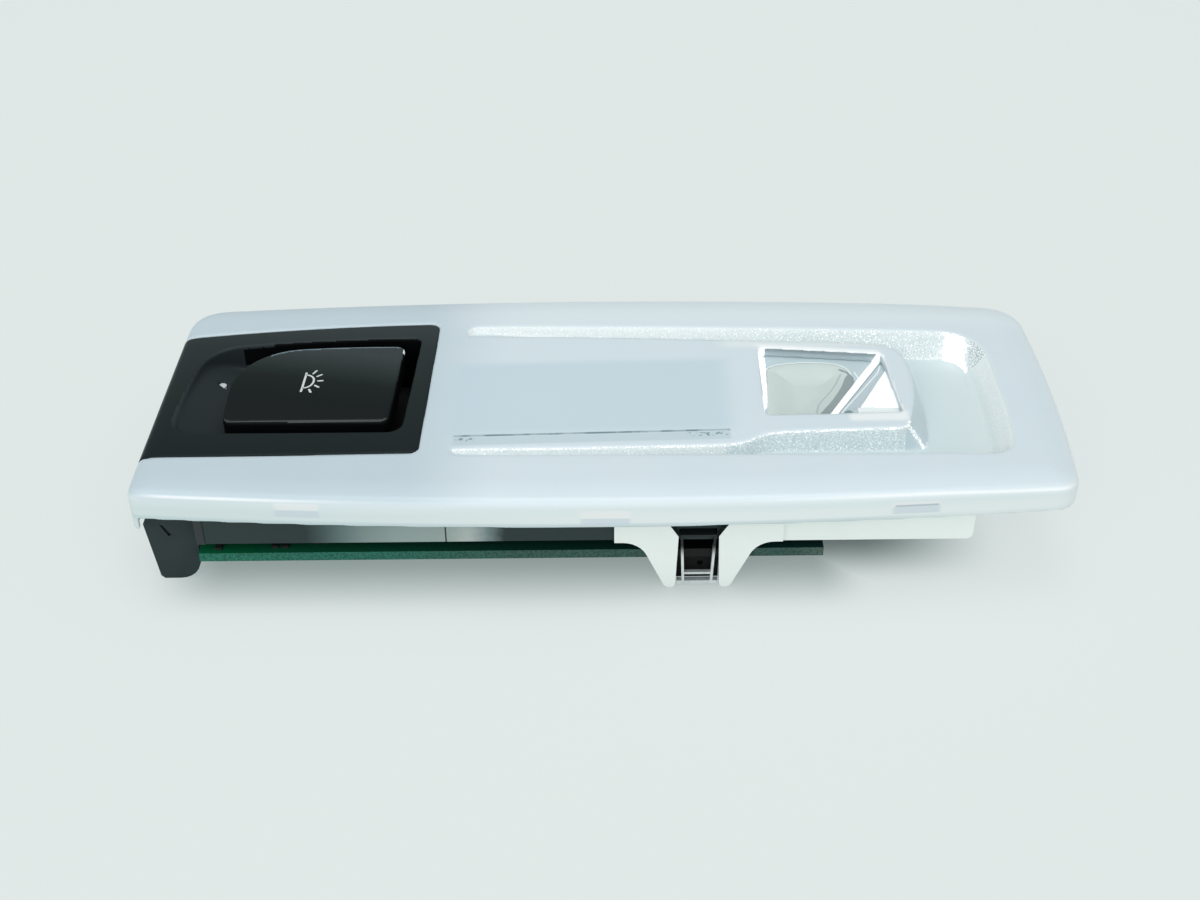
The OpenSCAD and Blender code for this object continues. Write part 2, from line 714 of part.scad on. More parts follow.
module connector_pins() {
    pin_w = 0.64;
    pitch = 2.5;
    color([0.78, 0.7, 0.45]) for (i = [0:4])
        translate([(plug_x[0] + plug_x[1]) / 2 + (i - 2) * pitch, plug_y[1] - 2.2, board_low - 1 - 3.2])
            translate([-pin_w / 2, -pin_w / 2, 0]) cube([pin_w, pin_w, 3.2]);
}

module tact_switch() {
    body_w = 6;
    color([0.1, 0.1, 0.1]) translate([tact_at[0], tact_at[1], board_z]) difference() {
        translate([-body_w / 2, -body_w / 2, 0]) cube([body_w, body_w, tact_h]);
        translate([0, 0, 0.6]) cylinder(r = plunger_r + pin_gap, h = tact_h);
    }
}

module tact_plunger() {
    color([0.85, 0.85, 0.83]) translate([tact_at[0], tact_at[1], board_z + tact_h - 0.4])
        cylinder(r = plunger_r, h = plunger_h + 0.4);
}

module chip(at, size) {
    translate([at[0] - size[0] / 2, at[1] - size[1] / 2, board_z]) cube(size);
}

module spot_led() {
    color([0.95, 0.9, 0.6]) {
        chip(spot_led_at, [3, 3, led_h]);
        translate([spot_led_at[0], spot_led_at[1], board_z + led_h / 2]) cylinder(r = 1.2, h = led_h);
    }
}

module ambient_leds() {
    pitch = (chamber_x[1] - chamber_x[0] - 20) / 4;
    color([0.95, 0.93, 0.75]) for (i = [0:4], y = [-3, 4])
        chip([chamber_x[0] + 10 + pitch * i, y], [3, 1.6, led_h]);
}

module locator_led() {
    color([0.95, 0.93, 0.8]) chip(guide_at, [1.6, 0.8, led_h]);
}

module driver_chip() {
    color([0.1, 0.1, 0.11]) {
        chip([tact_at[0] + 12, -16], [6, 5, 1.5]);
        for (i = [-2:2], s = [-1, 1]) chip([tact_at[0] + 12 + 1.1 * i, -16 + s * 3], [0.45, 1.2, 0.5]);
    }
}

module chip_resistors() {
    color([0.16, 0.16, 0.17]) for (d = [[1, 2.4], [3, 2.4], [9, 3.6], [10.7, 3.6], [-10, 2], [7, 45.4]])
        chip([tact_at[0] + d[0] - 1, -board_y + d[1]], [1.2, 2, 0.5]);
}

module chip_capacitors() {
    color([0.6, 0.5, 0.38]) for (d = [[18, -22], [4, -20], [20, 16], [14, 20]])
        chip([tact_at[0] + d[0], d[1]], [2, 1.3, 1.1]);
}

module power_inductor() {
    color([0.25, 0.25, 0.26]) {
        chip([tact_at[0] - 4, 15], [6, 6, 1.2]);
        translate([tact_at[0] - 4, 15, board_z + 1]) cylinder(r = 2.7, h = 1.2);
    }
}

lens_cover();
window_lens();
switch_bezel();
switch_button();
hinge_pin();
locator_guide();
switch_housing();
end_bracket();
reflector_housing();
carrier_frame();
light_diffuser();
spot_reflector();
spring_clip_near();
spring_clip_far();
clip_backing();
circuit_board();
board_screws();
connector_shell();
connector_pins();
tact_switch();
tact_plunger();
spot_led();
ambient_leds();
locator_led();
driver_chip();
chip_resistors();
chip_capacitors();
power_inductor();
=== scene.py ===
import bpy
import numpy as np
from math import radians, sin, cos, pi, sqrt, atan2, hypot
from mathutils import Vector, Matrix


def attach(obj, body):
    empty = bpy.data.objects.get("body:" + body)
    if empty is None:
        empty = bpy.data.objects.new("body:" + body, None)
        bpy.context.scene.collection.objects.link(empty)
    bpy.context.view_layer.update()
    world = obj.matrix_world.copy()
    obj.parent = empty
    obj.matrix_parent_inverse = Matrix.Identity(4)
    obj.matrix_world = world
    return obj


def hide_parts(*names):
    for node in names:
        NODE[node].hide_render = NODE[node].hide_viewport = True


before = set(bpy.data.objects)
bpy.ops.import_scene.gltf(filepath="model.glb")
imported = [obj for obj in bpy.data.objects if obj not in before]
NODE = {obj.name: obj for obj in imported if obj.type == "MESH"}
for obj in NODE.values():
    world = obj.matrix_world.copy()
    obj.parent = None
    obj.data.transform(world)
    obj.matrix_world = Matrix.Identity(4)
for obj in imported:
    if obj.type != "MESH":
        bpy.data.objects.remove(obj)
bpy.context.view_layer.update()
MM = 0.001

# Sizes in millimetres. An outline is its four corners, the bow of each side and the round of each corner.
RIM, TOP, WALL, LIP, LIP_X, LIP_T = 18.2, 24.9, 2.2, 15.4, -90.4, 0.9
LEFT, ROLL_L, ROLL_DROP = -92.5, 5.0, 1.05
FALL_X, FALL_L, FALL = 60, 31, 0.75
CROWN, CROWN_L, EDGE_ROUND, LOW_ROUND = 0.9, 7, 1.3, 0.3
PANEL_BOW, PANEL_ROUND = [4.2, 1.5, 4.2, 0.05], [5.0, 8, 8.5, 2.4]
PANEL = ([(-92.08, -32.8), (89.1, -32.8), (90.3, 32.8), (-91.0, 32.8)], PANEL_BOW, PANEL_ROUND)
LONG_PANEL = ([(-120, -32.8), (89.1, -32.8), (90.3, 32.8), (-120, 32.8)], PANEL_BOW, PANEL_ROUND)
BEZEL = ([(-110, -22.1), (-37.6, -21.5), (-36.4, 26.1), (-110, 17.5)], [0.1, 0.05, 1.8, 0.05], [2, 2, 2, 2])
WELL = ([(-87.2, -13.9), (-41.6, -14.1), (-40, 20.2), (-83.8, 16.8)], [0.05, 0.05, 0.9, 1.2], [3, 1.6, 9, 4.5])
KEY = ([(-77.3, -11.2), (-44.2, -11.4), (-43.1, 16.5), (-77.2, 14.4)], [0.05, 0.05, 0.8, 0.6], [1.7, 1.7, 14, 1.8])
RECESS = ([(-31.6, -22.1), (78.4, -23), (79, 20.6), (-30.2, 24.6)], [0.1, 1.2, 0.7, 0.1], [5, 9, 2.5, 2.5])
WINDOW = ([(31.1, -9.5), (58.9, -8.9), (57.6, 12.4), (31.8, 15.3)], [0.05] * 4, [1.1] * 4)
REC_D, REC_S, REC_X, REC_L, DRAFT = 5.0, 1.2, -28.4, 77.0, 0.7
SCOOP_X, SCOOP_LOW, SCOOP_T = -72.3, 18.3, 1.4
SCOOP_R = (14.9 ** 2 + 6.6 ** 2) / 13.2
GUIDE = (-81.5, 9.5)
MARK = [(-0.95, 0.45), (-0.3, 0.95), (0.5, 0.75), (1.0, 0.0),
        (0.95, -0.9), (0.45, -1.15), (0.15, -0.45), (-0.6, -0.25)]
DECK, KEY_TOP = 12.2, 25.685


def bow_circle(p, q, b):
    """Centre and radius of the circle through p and q that stands out by b between them."""
    p, q = np.array(p, float), np.array(q, float)
    v = q - p
    n = hypot(*v)
    r = (n * n / 4 + b * b) / (2 * b)
    return (p + q) / 2 - np.array([v[1], -v[0]]) / n * (r - b), r


def corner_mid(e, g, rc, c):
    """Centre of the round of radius rc between the side circles e and g, near corner c."""
    re, rg, v = e[1] - rc, g[1] - rc, g[0] - e[0]
    n = hypot(*v)
    a = (re * re - rg * rg + n * n) / (2 * n)
    h = sqrt(max(0, re * re - a * a))
    m = e[0] + v * a / n
    k = np.array([-v[1], v[0]]) * h / n
    return m + k if hypot(*(m + k - c)) < hypot(*(m - k - c)) else m - k


def soft_quad(quad, ne=12, nc=8):
    """Outline of a quad with bowed sides and round corners: ne points on each side, nc on each corner."""
    p, b, r = quad
    e = [bow_circle(p[i], p[(i + 1) % 4], b[i]) for i in range(4)]
    k = [corner_mid(e[i], e[(i + 1) % 4], r[i], np.array(p[(i + 1) % 4], float)) for i in range(4)]
    out = []
    for i in range(4):
        g = e[(i + 1) % 4]
        head = lambda v: atan2(v[1], v[0])
        a0 = head(k[(i + 3) % 4] - e[i][0])
        a1 = head(k[i] - e[i][0])
        b1 = head(k[i] - g[0])
        for t in range(ne):
            a = a0 + ((a1 - a0) % (2 * pi)) * t / ne
            out.append(e[i][0] + e[i][1] * np.array([cos(a), sin(a)]))
        for t in range(nc):
            a = a1 + ((b1 - a1) % (2 * pi)) * t / nc
            out.append(k[i] + r[i] * np.array([cos(a), sin(a)]))
    return np.array(out)


def chaikin(points, times=3):
    """Rounds the corners of a closed polygon."""
    p = np.array(points, float)
    for _ in range(times):
        q = np.roll(p, -1, 0)
        p = np.stack([0.75 * p + 0.25 * q, 0.25 * p + 0.75 * q], 1).reshape(-1, 2)
    return p


def dist(poly, X, Y):
    """Signed distance to a polygon, negative inside."""
    best = np.full(X.shape, 1e9)
    inside = np.zeros(X.shape, bool)
    n = len(poly)
    for i in range(n):
        ax, ay = poly[i]
        bx, by = poly[(i + 1) % n]
        ex, ey = bx - ax, by - ay
        L = ex * ex + ey * ey
        if L < 1e-12:
            continue
        px, py = X - ax, Y - ay
        t = np.clip((px * ex + py * ey) / L, 0, 1)
        best = np.minimum(best, (px - t * ex) ** 2 + (py - t * ey) ** 2)
        hit = (ay > Y) != (by > Y)
        inside ^= hit & (px < (Y - ay) * ex / (ey if ey else 1e-12))
    d = np.sqrt(best)
    return np.where(inside, -d, d)


def rmax(a, b, r):
    """Intersection of two forms with a round of radius r."""
    u, v = np.maximum(r + a, 0), np.maximum(r + b, 0)
    return np.minimum(-r, np.maximum(a, b)) + np.sqrt(u * u + v * v)


def drop(X):
    """How far the top falls towards the cover's left and right ends."""
    t = np.maximum(0, ROLL_L + LEFT - X) / ROLL_L
    u = np.clip((X - FALL_X) / FALL_L, 0, 1)
    return ROLL_DROP * t * t + FALL * u * u


def crown(P):
    """How far the top falls near its outline, P away from it."""
    return CROWN * np.clip((P + CROWN_L) / CROWN_L, 0, 1) ** 2


def depth(X):
    """Depth of the recess, which grows towards the right."""
    return REC_S + (REC_D - REC_S) * np.clip((X - REC_X) / REC_L, 0, 1)


def nets(f, axes):
    """Quads of the surface where the grid field f changes sign, one vertex in each cell it crosses."""
    n = f.shape
    cells = (n[0] - 1, n[1] - 1, n[2] - 1)
    size = cells[0] * cells[1] * cells[2]
    count = np.zeros(size)
    total = np.zeros((3, size))
    quads = []
    for k in range(3):
        a, b = [slice(None)] * 3, [slice(None)] * 3
        a[k], b[k] = slice(0, -1), slice(1, None)
        f0, f1 = f[tuple(a)], f[tuple(b)]
        cross = (f0 < 0) != (f1 < 0)
        idx = np.argwhere(cross)
        v0, v1 = f0[cross], f1[cross]
        pos = np.stack([axes[j][idx[:, j]] for j in range(3)], 1)
        step = axes[k][idx[:, k] + 1] - axes[k][idx[:, k]]
        pos[:, k] += step * v0 / (v0 - v1)
        i, j = (k + 1) % 3, (k + 2) % 3
        ring = []
        for di, dj in ((1, 1), (0, 1), (0, 0), (1, 0)):
            c = idx.copy()
            c[:, i] -= di
            c[:, j] -= dj
            flat = (c[:, 0] * cells[1] + c[:, 1]) * cells[2] + c[:, 2]
            ring.append(flat)
            count += np.bincount(flat, minlength=size)
            for m in range(3):
                total[m] += np.bincount(flat, weights=pos[:, m], minlength=size)
        q = np.stack(ring, 1)
        q[v0 >= 0] = q[v0 >= 0][:, ::-1]
        quads.append(q)
    q = np.concatenate(quads)
    used, index = np.unique(q, return_inverse=True)
    verts = (total[:, used] / count[used]).T
    return verts, index.reshape(-1, 4)


def sample(field, axes, p):
    """Trilinear value of a grid field, or of several, at points p."""
    g = []
    for k in range(3):
        t = (p[:, k] - axes[k][0]) / (axes[k][1] - axes[k][0])
        i = np.clip(t.astype(int), 0, len(axes[k]) - 2)
        g.append((i, np.clip(t - i, 0, 1)))
    out = 0
    for dx in (0, 1):
        for dy in (0, 1):
            for dz in (0, 1):
                w = 1
                for (i, t), d in zip(g, (dx, dy, dz)):
                    w = w * (t if d else 1 - t)
                v = field[g[0][0] + dx, g[1][0] + dy, g[2][0] + dz]
                out = out + (w[:, None] * v if v.ndim == 2 else w * v)
    return out


def new_mesh(name, verts, faces, mats, smooth=True):
    mesh = bpy.data.meshes.new(name)
    faces = np.asarray(faces, np.int32) if not isinstance(faces, list) else faces
    mesh.from_pydata([tuple(v) for v in np.asarray(verts) * MM], [], [tuple(f) for f in faces])
    for m in mats:
        mesh.materials.append(m)
    mesh.polygons.foreach_set("use_smooth", [smooth] * len(mesh.polygons))
    mesh.update()
    obj = bpy.data.objects.new(name, mesh)
    bpy.context.scene.collection.objects.link(obj)
    return obj


def applied(obj):
    """Applies obj's modifiers."""
    deps = bpy.context.evaluated_depsgraph_get()
    old = obj.data
    mesh = bpy.data.meshes.new_from_object(obj.evaluated_get(deps))
    obj.modifiers.clear()
    obj.data = mesh
    mesh.name = old.name
    return obj


def form(name, f, axes, mats, keep_tris, classify=None):
    """A piece from a signed form on a grid, thinned to about keep_tris triangles, with the form's normals."""
    verts, quads = nets(f, axes)
    grad = np.stack(np.gradient(f, *axes), -1)
    for _ in range(2):
        g = sample(grad, axes, verts)
        v = sample(f, axes, verts)
        verts = verts - np.clip(v / np.maximum((g * g).sum(1), 0.2), -0.2, 0.2)[:, None] * g
    obj = new_mesh(name, verts, quads, mats)
    if len(quads) * 2 > keep_tris:
        m = obj.modifiers.new("thin", "DECIMATE")
        m.ratio = keep_tris / (len(quads) * 2)
        m.use_collapse_triangulate = True
        applied(obj)
    mesh = obj.data
    co = np.zeros(len(mesh.vertices) * 3)
    mesh.vertices.foreach_get("co", co)
    co = co.reshape(-1, 3) / MM
    g = sample(grad, axes, co)
    g /= np.maximum(np.linalg.norm(g, axis=1), 1e-9)[:, None]
    mesh.polygons.foreach_set("use_smooth", [True] * len(mesh.polygons))
    if classify is not None:
        n = len(mesh.polygons)
        c = np.zeros(n * 3)
        mesh.polygons.foreach_get("center", c)
        nn = np.zeros(n * 3)
        mesh.polygons.foreach_get("normal", nn)
        kind = classify(c.reshape(-1, 3) / MM, nn.reshape(-1, 3))
        mesh.polygons.foreach_set("material_index", kind.astype(np.int32))
    mesh.normals_split_custom_set_from_vertices([tuple(v) for v in g])
    mesh.update()
    return obj


def grid(lo, hi, step):
    """Axes of a grid a little larger than the box lo to hi, and its X, Y and Z."""
    axes = [np.arange(lo[k] - 1.5 * step[k], hi[k] + 2.5 * step[k], step[k]) for k in range(3)]
    X, Y = np.meshgrid(axes[0], axes[1], indexing="ij")
    return axes, X, Y, axes[2][None, None, :]


def tree(name):
    """A new material, its node tree and its shader."""
    m = bpy.data.materials.new(name)
    m.use_nodes = True
    t = m.node_tree
    return m, t, t.nodes["Principled BSDF"]


def link(t, a, b):
    t.links.new(a, b)


def coords(t):
    return t.nodes.new("ShaderNodeTexCoord").outputs["Object"]


def parts(t, vector=None):
    """X, Y and Z of a vector, or else of the object's own coordinates."""
    s = t.nodes.new("ShaderNodeSeparateXYZ")
    link(t, vector if vector is not None else coords(t), s.inputs[0])
    return s.outputs[0], s.outputs[1], s.outputs[2]


def put(t, socket, value):
    """Gives a socket a number or a colour, or links a value to it."""
    if isinstance(value, (int, float)):
        socket.default_value = value
    elif isinstance(value, tuple):
        socket.default_value = (*value, 1)
    else:
        link(t, value, socket)


def op(t, kind, a, b=0.0):
    n = t.nodes.new("ShaderNodeMath")
    n.operation = kind
    put(t, n.inputs[0], a)
    put(t, n.inputs[1], b)
    return n.outputs[0]


def step(t, value, a, b):
    """0 at a, 1 at b, smooth between."""
    n = t.nodes.new("ShaderNodeMapRange")
    n.interpolation_type = "SMOOTHSTEP"
    n.inputs["From Min"].default_value = a
    n.inputs["From Max"].default_value = b
    link(t, value, n.inputs["Value"])
    return n.outputs["Result"]


def band(t, value, lo, hi, soft):
    """1 between lo and hi."""
    return op(t, "MULTIPLY", step(t, value, lo - soft, lo + soft), step(t, value, hi + soft, hi - soft))


def times(t, first, *rest):
    """The product of several values."""
    for value in rest:
        first = op(t, "MULTIPLY", first, value)
    return first


def mix(t, fac, a, b, blend="MIX"):
    n = t.nodes.new("ShaderNodeMix")
    n.data_type = "RGBA"
    n.blend_type = blend
    put(t, n.inputs["Factor"], fac)
    put(t, n.inputs[6], a)
    put(t, n.inputs[7], b)
    return n.outputs[2]


def noise(t, scale, detail=3.0, rough=0.5):
    n = t.nodes.new("ShaderNodeTexNoise")
    n.inputs["Scale"].default_value = scale
    n.inputs["Detail"].default_value = detail
    n.inputs["Roughness"].default_value = rough
    link(t, coords(t), n.inputs["Vector"])
    return n.outputs["Fac"]


def ramp(t, value, stops):
    r = t.nodes.new("ShaderNodeValToRGB")
    e = r.color_ramp.elements
    while len(e) < len(stops):
        e.new(0.5)
    for i, (p, c) in enumerate(stops):
        e[i].position = p
        e[i].color = (*c, 1)
    link(t, value, r.inputs["Fac"])
    return r.outputs["Color"]


def bump(t, b, height, strength, distance):
    n = t.nodes.new("ShaderNodeBump")
    n.inputs["Strength"].default_value = strength
    n.inputs["Distance"].default_value = distance
    link(t, height, n.inputs["Height"])
    link(t, n.outputs["Normal"], b.inputs["Normal"])


def scaled(t, value, lo, hi):
    n = t.nodes.new("ShaderNodeMapRange")
    n.inputs["To Min"].default_value = lo
    n.inputs["To Max"].default_value = hi
    link(t, value, n.inputs["Value"])
    return n.outputs["Result"]


def plastic(name, color, rough, spread=0.06, grain=0.0, grain_scale=9000, tint=0.03, metallic=0.0, spec=0.5,
            glow=0.0):
    """Moulded plastic: colour that varies a little, uneven roughness and a fine grain."""
    m, t, b = tree(name)
    c0 = tuple(max(0, v * (1 - tint)) for v in color)
    c1 = tuple(v * (1 + tint) for v in color)
    link(t, ramp(t, noise(t, 120, 4), [(0.3, c0), (0.7, c1)]), b.inputs["Base Color"])
    link(t, scaled(t, noise(t, 400, 5), max(0.02, rough - spread), rough + spread), b.inputs["Roughness"])
    b.inputs["Metallic"].default_value = metallic
    b.inputs["Specular IOR Level"].default_value = spec
    if glow:
        b.inputs["Emission Color"].default_value = (*color, 1)
        b.inputs["Emission Strength"].default_value = glow
    if grain:
        bump(t, b, noise(t, grain_scale, 2), grain, 0.0001)
    return m


# Snap pockets behind the skirt in metres: from and to along X, then the heights of their lower and upper band
POCKETS = ((-0.0637, -0.0553, 0.0201, 0.0217, 0.0233), (-0.0060, 0.0033, 0.0189, 0.0204, 0.0222),
           (0.0530, 0.0620, 0.0196, 0.0213, 0.0223))


def milky_material():
    """Milky cover: bluish face, lighter skirt, and what shows through them."""
    m, t, b = tree("milky_cover")
    x, y, z = parts(t)
    high = step(t, z, 0.0240, 0.0246)
    near = step(t, y, -0.030, -0.033)
    over_switch = ramp(t, noise(t, 60, 4), [(0.3, (0.545, 0.665, 0.725)), (0.7, (0.565, 0.68, 0.74))])
    over_lamps = ramp(t, noise(t, 60, 4), [(0.3, (0.665, 0.785, 0.835)), (0.7, (0.685, 0.80, 0.85))])
    face = mix(t, step(t, x, -0.041, -0.019), over_switch, over_lamps)
    # The plate under the island shows a little darker
    line = op(t, "SUBTRACT", y, op(t, "MULTIPLY", x, 0.026))
    plate = times(t, band(t, x, -0.0330, 0.0240, 0.0030), band(t, line, -0.0148, 0.0105, 0.0016))
    face = mix(t, times(t, plate, high, 0.75), face, (0.555, 0.70, 0.77))
    # Paler behind the window and towards the far side
    behind = times(t, band(t, x, 0.024, 0.0600, 0.003), band(t, y, 0.0155, 0.0200, 0.0012))
    face = mix(t, times(t, behind, high, 0.9), face, (0.77, 0.86, 0.875))
    face = mix(t, times(t, step(t, y, 0.018, 0.028), step(t, x, -0.04, -0.01)), face, (0.72, 0.83, 0.865))
    # The lit far edge of the window, and the pale foot of its near frame
    past = op(t, "ADD", y, op(t, "SUBTRACT", op(t, "MULTIPLY", x, 0.1124), 0.018874))
    lit = times(t, band(t, past, 0.0002, 0.0014, 0.0006), band(t, x, 0.0315, 0.0570, 0.0012))
    face = mix(t, times(t, lit, high, 0.8), face, (0.93, 0.975, 0.98))
    pale = times(t, band(t, x, 0.0478, 0.0596, 0.0008), band(t, y, -0.0120, -0.0085, 0.0009))
    face = mix(t, times(t, pale, high, 0.85), face, (0.90, 0.965, 0.975))
    upper = mix(t, step(t, x, -0.080, -0.03), (0.70, 0.80, 0.82), (0.74, 0.83, 0.85))
    lower = mix(t, step(t, x, -0.080, 0.02), (0.66, 0.76, 0.765), (0.79, 0.86, 0.86))
    skirt = mix(t, step(t, z, 0.0228, 0.0206), upper, lower)
    col = mix(t, step(t, z, 0.0241, 0.0229), face, skirt)
    # The painted highlight where face and skirt meet, and the dim line at the rim's foot
    fallen = op(t, "MULTIPLY", step(t, x, 0.058, 0.092), 0.0006)
    painted_edge_highlight = times(t, band(t, op(t, "ADD", z, fallen), 0.02350, 0.02395, 0.00022), near,
                  step(t, x, -0.0915, -0.084), step(t, x, 0.0905, 0.086))
    ends = op(t, "ADD", step(t, x, 0.020, 0.062), step(t, x, -0.045, -0.075))
    col = mix(t, times(t, painted_edge_highlight, op(t, "ADD", 0.12, op(t, "MULTIPLY", ends, 0.7))), col, (0.93, 0.97, 0.98))
    foot = times(t, band(t, z, 0.0180, 0.0192, 0.0003), near)
    col = mix(t, times(t, foot, scaled(t, step(t, x, 0.045, 0.07), 0.55, 0.15)), col, (0.50, 0.63, 0.67))
    # The slit at the plate's near edge, with a shade and dark flecks below it
    slit_x = band(t, x, -0.0310, 0.0236, 0.0003)
    streaks = scaled(t, step(t, noise(t, 260, 3), 0.42, 0.6), 0.45, 0.9)
    slit = times(t, band(t, line, -0.01560, -0.01500, 0.00015), slit_x, high, streaks)
    col = mix(t, slit, col, (0.12, 0.22, 0.26))
    under_slit = times(t, band(t, line, -0.0184, -0.0158, 0.0003), slit_x, high, 0.6)
    col = mix(t, under_slit, col, (0.50, 0.64, 0.69))
    flecks = times(t, step(t, noise(t, 1300, 2), 0.5, 0.62), band(t, line, -0.0172, -0.0160, 0.0002), high)
    for lo, hi in ((-0.0305, -0.0268), (0.0150, 0.0232)):
        col = mix(t, times(t, band(t, x, lo, hi, 0.0003), flecks, 0.75), col, (0.12, 0.22, 0.27))
    # Snap pockets: a paler band above a bluish one, and a thin dark line in the right one
    for lo, hi, z0, z1, z2 in POCKETS:
        wide = times(t, band(t, x, lo, hi, 0.0005), near)
        col = mix(t, times(t, wide, band(t, z, z1, z2, 0.0002), 0.55), col, (0.88, 0.87, 0.88))
        col = mix(t, times(t, wide, band(t, z, z0, z1, 0.0002), 0.6), col, (0.56, 0.66, 0.73))
    thin = times(t, band(t, x, 0.0534, 0.0617, 0.0003), band(t, z, 0.0213, 0.0217, 0.00012), near, 0.7)
    col = mix(t, thin, col, (0.33, 0.43, 0.50))
    link(t, col, b.inputs["Base Color"])
    link(t, scaled(t, noise(t, 400, 5), 0.26, 0.36), b.inputs["Roughness"])
    b.inputs["Specular IOR Level"].default_value = 0.5
    bump(t, b, noise(t, 900, 3), 0.05, 0.0001)
    return m


def pebbled_material(name, low, high, sparks=0.6, glow=0.35, scale=3000, zones=False, foot=None):
    """Fine pebbled plastic whose grains carry painted white glints that glow by emission. With zones, it has the
    painted glare and the dark specks of the far corner and is calmer on the left; with foot, it rises out of the
    floor's colour."""
    m, t, b = tree(name)
    x, _, z = parts(t)
    grains = noise(t, scale, 2.5, 0.55)
    col = ramp(t, grains, [(0.38, low), (0.60, high)])
    # Painted glints: white grains that glow by emission
    white = step(t, noise(t, scale * 1.1, 1.5, 0.5), sparks, sparks + 0.07)
    if zones:
        lean = op(t, "MULTIPLY", op(t, "SUBTRACT", z, TOP * MM), -0.12)
        ragged = op(t, "MULTIPLY", op(t, "SUBTRACT", noise(t, 900, 3), 0.5), 0.004)
        pos = op(t, "ADD", op(t, "ADD", x, lean), ragged)
        specks = times(t, step(t, pos, 0.0770, 0.0785), step(t, grains, 0.50, 0.42), 0.7)
        col = mix(t, specks, col, (0.22, 0.30, 0.33))
        white = op(t, "MAXIMUM", white, band(t, pos, 0.0722, 0.0766, 0.0007))
        calm = step(t, x, 0.050, 0.010)
        col = mix(t, op(t, "MULTIPLY", calm, 0.6), col, (0.84, 0.91, 0.92))
        white = times(t, white, op(t, "SUBTRACT", 1.0, op(t, "MULTIPLY", calm, 0.55)))
    if foot:
        rise = step(t, z, 0.0196, 0.0226)
        white = times(t, white, rise)
        col = mix(t, rise, foot, col)
    col = mix(t, white, col, (0.98, 1.0, 1.0))
    link(t, col, b.inputs["Base Color"])
    link(t, col, b.inputs["Emission Color"])
    link(t, op(t, "MULTIPLY", white, glow), b.inputs["Emission Strength"])
    b.inputs["Roughness"].default_value = 0.25
    bump(t, b, grains, 0.5, 0.0003)
    return m


def tinted_cover(name, c0, c1, axis, start, end, rough=0.3, glow=0.0):
    """Cover plastic whose colour runs from c0 at start to c1 at end along one axis, in metres."""
    m, t, b = tree(name)
    pos = step(t, parts(t)[axis], start, end)
    uneven = op(t, "MULTIPLY", op(t, "SUBTRACT", noise(t, 500, 3), 0.5), 0.15)
    link(t, mix(t, op(t, "ADD", pos, uneven), c0, c1), b.inputs["Base Color"])
    link(t, scaled(t, noise(t, 400, 5), rough - 0.04, rough + 0.06), b.inputs["Roughness"])
    if glow:
        b.inputs["Emission Color"].default_value = (*c0, 1)
        b.inputs["Emission Strength"].default_value = glow
    bump(t, b, noise(t, 900, 3), 0.05, 0.0001)
    return m


def window_wall():
    """The window's far wall, dark at its top, with the mirror images of the dish's bright bar and ridge."""
    m, t, b = tree("window_wall")
    x, _, z = parts(t)
    col = mix(t, step(t, z, 0.0234, 0.0247), (0.46, 0.56, 0.60), (0.19, 0.25, 0.28))
    # The bright bar and ridge are painted reflections that glow a little by emission
    slant = op(t, "SUBTRACT", x, op(t, "MULTIPLY", op(t, "SUBTRACT", z, 0.0228), 0.45))
    bright = op(t, "MAXIMUM", band(t, slant, 0.0556, 0.0573, 0.0001), step(t, x, 0.0333, 0.0330))
    col = mix(t, bright, col, (0.93, 0.96, 0.97))
    uneven = mix(t, 0.08, col, (0.3, 0.4, 0.44))
    link(t, mix(t, noise(t, 500, 3), col, uneven), b.inputs["Base Color"])
    link(t, col, b.inputs["Emission Color"])
    link(t, scaled(t, bright, 0.0, 0.35), b.inputs["Emission Strength"])
    b.inputs["Roughness"].default_value = 0.3
    return m


SEAM = -0.0322


def strip_material(name, stops, x0, x1):
    """Housing plastic whose colour runs along X from x0 to x1 in metres."""
    m, t, b = tree(name)
    x, y, _ = parts(t)
    pos = op(t, "DIVIDE", op(t, "SUBTRACT", x, x0), x1 - x0)
    pos = op(t, "ADD", pos, op(t, "MULTIPLY", op(t, "SUBTRACT", noise(t, 700, 3), 0.5), 0.02))
    col = mix(t, band(t, x, SEAM - 0.00014, SEAM + 0.00014, 0.00004), ramp(t, pos, stops), (0.02, 0.025, 0.03))
    outside = step(t, op(t, "ABSOLUTE", y), 0.0296, 0.0303)
    link(t, mix(t, outside, (0.004, 0.005, 0.005), col), b.inputs["Base Color"])
    link(t, scaled(t, noise(t, 500, 4), 0.40, 0.55), b.inputs["Roughness"])
    b.inputs["Specular IOR Level"].default_value = 0.3
    bump(t, b, noise(t, 5000, 3), 0.25, 0.0001)
    return m


milky = milky_material()
pebbled = pebbled_material("milky_pebbled", (0.64, 0.74, 0.76), (0.80, 0.88, 0.89), zones=True)
# Black darkened as painted shade: the well's walls, what lies below the deck and the key's sides
shaded_black = plastic("black_in_shade", (0.0016, 0.0024, 0.0028), 0.55, 0.04, tint=0.1, spec=0.12)


def soft_black(name, stops, rough, slope=0.0, lo=-0.0115, hi=0.0165, spec=0.18):
    """Black plastic that is paler towards the far side, as it looks into the bright room."""
    m, t, b = tree(name)
    x, y, _ = parts(t)
    y = op(t, "ADD", y, op(t, "MULTIPLY", op(t, "ADD", x, 0.061), slope))
    pos = op(t, "DIVIDE", op(t, "SUBTRACT", y, lo), hi - lo)
    pos = op(t, "ADD", pos, op(t, "MULTIPLY", op(t, "SUBTRACT", noise(t, 300, 4), 0.5), 0.06))
    link(t, ramp(t, pos, stops), b.inputs["Base Color"])
    link(t, scaled(t, noise(t, 400, 5), rough - 0.05, rough + 0.05), b.inputs["Roughness"])
    b.inputs["Specular IOR Level"].default_value = spec
    bump(t, b, noise(t, 6000, 2), 0.12, 0.0001)
    return m


